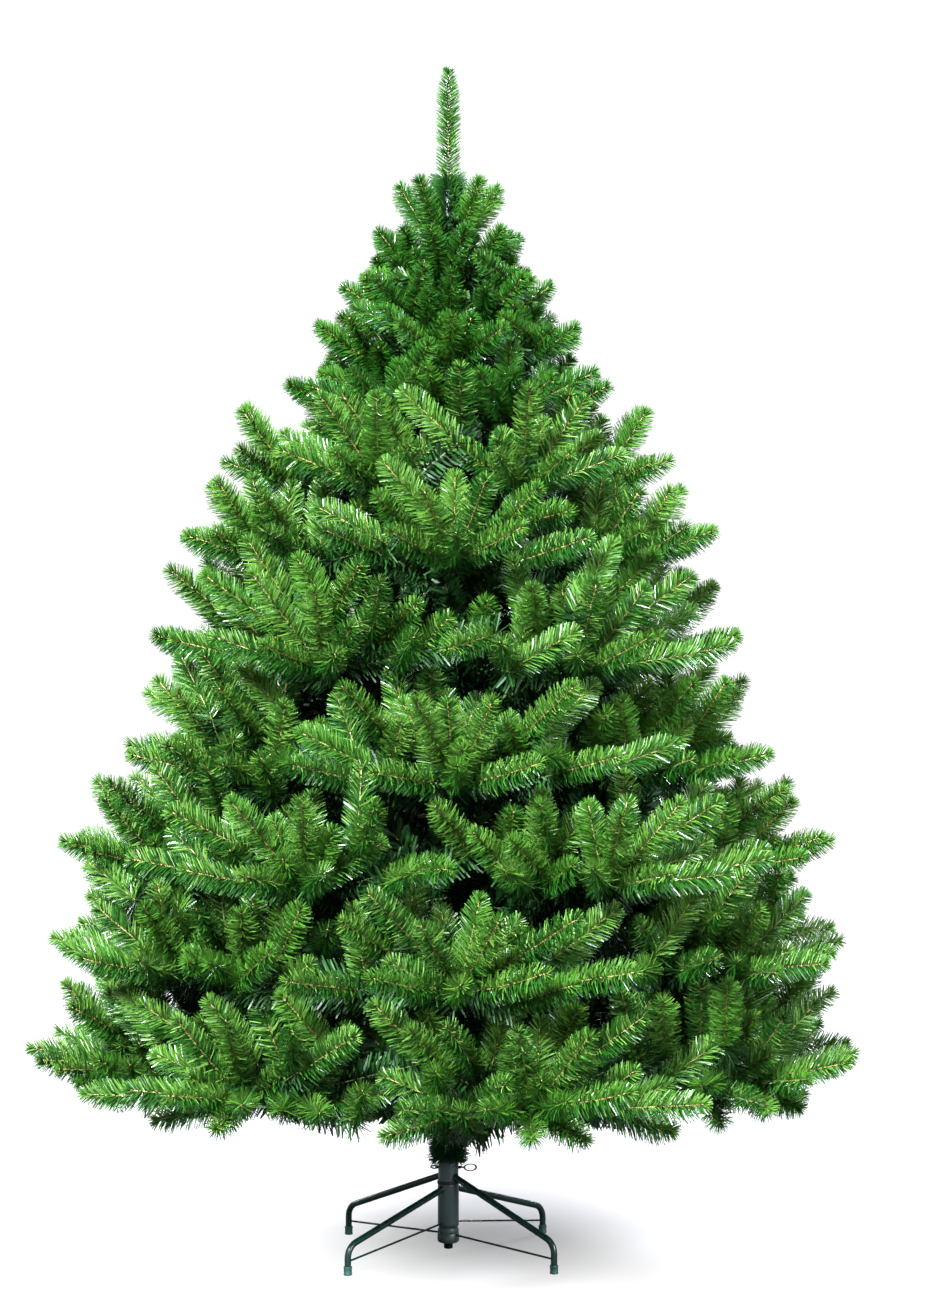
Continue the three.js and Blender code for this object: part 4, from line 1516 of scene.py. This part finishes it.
@dataclass(frozen=True)
class Leg:
    """A leg of bent tube with its strut and its foot cap."""

    CAP = [
        (0.0060, 0.0000), (0.0070, 0.0004), (0.0074, 0.0014), (0.0073, 0.0030),
        (0.0070, 0.0036), (0.0070, 0.0112), (0.0073, 0.0120), (0.0073, 0.0142),
        (0.0070, 0.0150), (0.0062, 0.0150), (0.0058, 0.0146), (0.0058, 0.0034),
    ]
    TUBE_START, TUBE_END = 0.0178, 0.0045  # out from the pole's middle, and above the floor
    LUG_START, LUG_WIDER, LUG_STEPS = 0.0176, 0.0016, ((0.0022, 0.0012), (0.0018, 0.0001))
    LUG_EASED = 0.0008
    CRIMPED, SOCKET_RADII = 0.047, (0.0195, 0.0186)  # the sleeve below that height, and above it
    STRUT_RADIUS, STRUT_GAP = 0.0018, 0.0003
    STRUT_STEPS = ((0.02, 0.9), (0.035, 1.1), (0.965, 1.0), (0.98, 0.9), (1.0, 1.1))

    azimuth: float
    fixed_at: float
    shoulder: float
    strut_at_socket: float
    strut_at_leg: float
    number: int
    radius: float = 0.0056
    spread: float = 0.250
    bend_radius: float = 0.026
    sides: int = 16

    @property
    def slope(self) -> np.ndarray:
        """Return the direction of the tube's first length, out and up."""
        return unit(np.array([self.spread, self.shoulder - self.fixed_at]))

    def point(self, out: float, height: float) -> Corner:
        """Return a point in the leg's upright plane."""
        return tuple(float(n) for n in out_at(self.azimuth, out, height))

    def ring(
        self, radius: float, sides: int, start: np.ndarray, heading: np.ndarray
    ) -> bpy.types.Object:
        """Start a rod in the leg's upright plane, as an open ring.

        Args:
            radius: the rod's radius.
            sides: how many sides it has.
            start: where it starts, out and up.
            heading: where it heads, out and up, at length one.

        Returns:
            The new object.
        """
        turn = (0.0, math.acos(heading[1]), math.radians(self.azimuth))
        return Bench.ring(radius, sides, self.point(*start), turn)

    def model_tube(self) -> bpy.types.Object:
        """Model the tube: out from the sleeve, round its bend and down into its foot cap.

        Returns:
            The tube.
        """
        turn, facing = math.acos(-self.slope[1]), math.radians(self.azimuth)
        tangent = self.bend_radius * math.tan(turn / 2)
        start = np.array([0.0, self.fixed_at]) + self.slope * self.TUBE_START
        bend_from = np.array([self.spread, self.shoulder]) - self.slope * tangent
        level = self.shoulder - tangent
        made = self.ring(self.radius, self.sides, start, self.slope)
        Bench.draw_on(self.point(*start), [(self.point(*bend_from), 1.0)])
        centre = self.point(self.spread - self.bend_radius, level)
        axis = (math.sin(facing), -math.cos(facing), 0.0)
        bpy.ops.mesh.spin(steps=10, angle=turn, center=centre, axis=axis)
        end = (self.point(self.spread, self.TUBE_END), 1.0)
        Bench.draw_on(self.point(self.spread, level), [end])
        return Bench.close(made)

    def model_lug(self) -> bpy.types.Object:
        """Model the welded bead that holds the tube to the sleeve.

        Returns:
            The bead.
        """
        start = middle = np.array([0.0, self.fixed_at]) + self.slope * self.LUG_START
        made = self.ring(self.radius + self.LUG_WIDER, self.sides, start, self.slope)
        stops = []
        for ahead, wider in self.LUG_STEPS:
            middle = middle + self.slope * ahead
            radius = self.radius + wider
            stops.append((self.point(*middle), radius / (radius + self.LUG_EASED)))
        Bench.draw_on(self.point(*start), stops)
        return Bench.close(made)

    def build_strut(self) -> None:
        """Make the strut, a rod that narrows and swells a little near each end."""
        socket_radius = self.SOCKET_RADII[self.strut_at_socket > self.CRIMPED]
        start = np.array([socket_radius + self.STRUT_GAP, self.strut_at_socket])
        run = np.array([self.spread - self.radius - self.STRUT_GAP, self.strut_at_leg]) - start
        made = self.ring(self.STRUT_RADIUS, 10, start, unit(run))
        stops = [(self.point(*(start + run * share)), size) for share, size in self.STRUT_STEPS]
        Bench.draw_on(self.point(*start), stops)
        name = f"strut_rod_{self.number}"
        Bench.dress([Bench.close(made)], name, LEG_PAINT, Slot.STAND, f"stand_strut_{self.number}")

    def build_cap(self) -> None:
        """Make the foot cap, with its rounded sole, its lip and the bore for the tube."""
        cap = Bench.close(Bench.turned(self.CAP, 24, self.point(self.spread, 0.0)))
        name = f"foot_cap_{self.number}"
        Bench.dress([cap], name, CAP_PLASTIC, Slot.CAP, f"stand_foot_{self.number}")

    def build(self) -> None:
        """Make the leg, its strut and its cap."""
        parts, name = [self.model_tube(), self.model_lug()], f"leg_tube_{self.number}"
        Bench.dress(parts, name, LEG_PAINT, Slot.STAND, f"stand_leg_{self.number}")
        self.build_strut()
        self.build_cap()


@dataclass(frozen=True)
class EyeBolt:
    """A clamp screw through the sleeve, with a loop of bent wire to turn it by."""

    SLEEVE_RADIUS, GAP, COLLAR = 0.0179, 0.0003, 0.0045
    NECK, NECK_SIZE, SHANK_SIZE = 0.001, 0.9, 0.6  # where the screw narrows, and how much
    INTO_LOOP = 0.9  # how far past its near edge the shank reaches, as a share of its radius
    TILT, SQUASH = 62, (1.25, 1.0, 0.7)  # of the loop

    number: int
    azimuth: float
    reach: float
    height: float = 0.153
    shank: float = 0.0028
    wire: float = 0.0014
    loop: float = 0.0078

    def at(self, distance: float) -> Corner:
        """Return the point of the screw's line at a distance from the pole's middle."""
        return tuple(float(n) for n in out_at(self.azimuth, distance, self.height))

    def build(self) -> None:
        """Make the screw and its loop."""
        facing = math.radians(self.azimuth)
        start, neck = self.SLEEVE_RADIUS + self.GAP, self.SLEEVE_RADIUS + self.COLLAR
        loop_at = self.SLEEVE_RADIUS + self.reach - self.loop
        screw = Bench.ring(self.shank, 12, self.at(start), (0.0, math.pi / 2, facing))
        stops = [(neck, self.NECK_SIZE), (neck + self.NECK, self.SHANK_SIZE)]
        stops.append((loop_at - self.loop * self.INTO_LOOP, 1.0))
        Bench.draw_on(self.at(start), [(self.at(stop), size) for stop, size in stops])
        screw = Bench.close(screw)
        bpy.ops.object.select_all(action="DESELECT")
        bpy.ops.mesh.primitive_torus_add(
            major_segments=28,
            minor_segments=8,
            major_radius=self.loop - self.wire,
            minor_radius=self.wire,
            location=self.at(loop_at),
            rotation=(math.radians(self.TILT), 0.0, facing),
        )
        loop = bpy.context.object
        bpy.ops.object.mode_set(mode="EDIT")
        bpy.ops.mesh.select_all(action="SELECT")
        bpy.ops.transform.resize(value=self.SQUASH, center_override=self.at(loop_at))
        parts, name = [screw, Bench.close(loop, angle=60)], f"eye_bolt_wire_{self.number}"
        Bench.dress(parts, name, DARK_STEEL, Slot.STAND, f"stand_eye_bolt_{self.number}")


class Stand:
    """The folding steel stand."""

    PAIRS = ((0.120, 0.048, 0.055, 0.024), (0.143, 0.052, 0.035, 0.025))

    def build(self) -> None:
        """Make the sleeve, the four legs and the two clamp screws."""
        Socket().build()
        for i in range(4):
            Leg(45 + 90 * i, *self.PAIRS[i % 2], i + 1).build()
        EyeBolt(1, 176, 0.013, loop=0.0066).build()
        EyeBolt(2, -8, 0.031, loop=0.0098).build()


# ------------------------------------------------------------------ studio


class Studio:
    """The pale floor, the soft lights and the camera."""

    COOL_WHITE = (0.95, 1.0, 1.12)
    WHITE, BEHIND, GLOW = (1.0, 1.0, 1.0, 1.0), 1.02, 0.22
    MIDDLE = (0.0, 0.0, 0.9)
    FLOOR_RADIUS, FLOOR_ROUGHNESS = 60, 0.9
    FLOOR_COLOUR = (0.035, 0.034, 0.032, 1.0)
    # painted shade on the floor: how its pool is stretched and shifted behind the stand, and how the
    # emission rises from dark near it to white away from it
    POOL_SHAPE, POOL_SHIFT = (1.0, 0.6, 1.0), (-0.10, -0.17, 0.0)
    POOL = {"From Min": 0.05, "From Max": 0.46, "To Min": 0.28, "To Max": 1.0}
    LIGHTS = (
        ("key", (-3.4, -7.4, 6.6), 1.7, 6900),
        ("fill", (3.8, -3.6, 2.2), 1.8, 380),
        ("rear", (3.6, 5.2, 5.4), 2.6, 2600),
        ("back", (-4.6, 4.4, 4.6), 2.6, 1900),
    )
    EYE, TURNED, LENS, SHIFT = (-0.15, -5.7, 1.168), -1.937, 89.35, -0.0435

    def floor(self) -> None:
        """Lay the pale floor, with a soft pool of painted shade under the tree in its emission."""
        bpy.ops.object.select_all(action="DESELECT")
        bpy.ops.mesh.primitive_circle_add(
            vertices=64, radius=self.FLOOR_RADIUS, fill_type="NGON", location=(0, 0, 0)
        )
        floor = bpy.context.object
        floor.name = "studio_floor"
        made = bpy.data.materials.new("pale_floor")
        made.use_nodes = True
        tree, link = made.node_tree, made.node_tree.links.new
        shader = tree.nodes["Principled BSDF"].inputs
        shader["Base Color"].default_value = self.FLOOR_COLOUR
        shader["Roughness"].default_value = self.FLOOR_ROUGHNESS
        shader["Emission Strength"].default_value = 1.0
        place = add_node(tree, "TexCoord")
        # painted shade: the emission that only the camera sees is darker near the stand
        shape = {1: self.POOL_SHAPE, 2: self.POOL_SHIFT}
        pool = add_node(tree, "VectorMath", shape, operation="MULTIPLY_ADD")
        away = add_node(tree, "VectorMath", operation="LENGTH")
        paler = add_node(tree, "MapRange", self.POOL, interpolation_type="SMOOTHSTEP")
        rays = add_node(tree, "LightPath")
        seen = add_node(tree, "Math", operation="MULTIPLY")
        link(place.outputs["Object"], pool.inputs[0])
        link(pool.outputs["Vector"], away.inputs[0])
        link(away.outputs["Value"], paler.inputs["Value"])
        link(paler.outputs["Result"], seen.inputs[0])
        link(rays.outputs["Is Camera Ray"], seen.inputs[1])
        link(seen.outputs["Value"], shader["Emission Color"])
        floor.data.materials.append(made)

    def soft_light(self, name: str, place: Corner, size: float, power: float) -> None:
        """Hang a square soft light.

        Args:
            name: the light's name.
            place: where it hangs; it faces the middle of the tree.
            size: the length of its sides.
            power: in watts.
        """
        lamp = bpy.data.lights.new(name, "AREA")
        lamp.size = size
        lamp.energy = power
        lamp.color = self.COOL_WHITE
        held = bpy.data.objects.new(name, lamp)
        held.location = place
        facing = np.subtract(place, self.MIDDLE)
        level = math.hypot(facing[0], facing[1])
        held.rotation_euler = (math.atan2(level, facing[2]), 0.0, math.atan2(facing[0], -facing[1]))
        bpy.context.collection.objects.link(held)

    def world(self) -> bpy.types.World:
        """Make the surroundings: white where the camera sees them, and a weak glow elsewhere.

        Returns:
            The world.
        """
        world = bpy.data.worlds.new("studio")
        world.use_nodes = True
        tree, link = world.node_tree, world.node_tree.links.new
        seen = tree.nodes["Background"]
        seen.inputs["Color"].default_value = self.WHITE
        seen.inputs["Strength"].default_value = self.BEHIND
        glow = add_node(tree, "Background", {"Color": self.WHITE, "Strength": self.GLOW})
        rays = add_node(tree, "LightPath")
        mix = add_node(tree, "MixShader")
        link(rays.outputs["Is Camera Ray"], mix.inputs["Fac"])
        link(glow.outputs["Background"], mix.inputs[1])
        link(seen.outputs["Background"], mix.inputs[2])
        link(mix.outputs["Shader"], tree.nodes["World Output"].inputs["Surface"])
        return world

    def camera(self) -> bpy.types.Object:
        """Set up the camera, level with the tree's middle.

        Returns:
            The camera.
        """
        lens = bpy.data.cameras.new("camera")
        lens.sensor_fit = "VERTICAL"
        lens.sensor_height = 36
        lens.lens = self.LENS
        lens.shift_y = self.SHIFT
        camera = bpy.data.objects.new("camera", lens)
        camera.location = self.EYE
        camera.rotation_euler = (math.radians(90), 0.0, math.radians(self.TURNED))
        bpy.context.collection.objects.link(camera)
        return camera

    def build(self) -> None:
        """Set up the whole studio."""
        scene = bpy.context.scene
        scene.view_settings.view_transform = "Standard"
        scene.world = self.world()
        self.floor()
        for light in self.LIGHTS:
            self.soft_light(*light)
        scene.camera = self.camera()


def main() -> None:
    """Build the tree, its stand and the studio."""
    logging.basicConfig(level=logging.INFO, format="%(message)s", stream=sys.stdout)
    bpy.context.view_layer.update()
    Studio().build()
    Stand().build()
    Pole().build()
    Crown().build()
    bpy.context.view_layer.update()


if __name__ == "__main__":
    main()
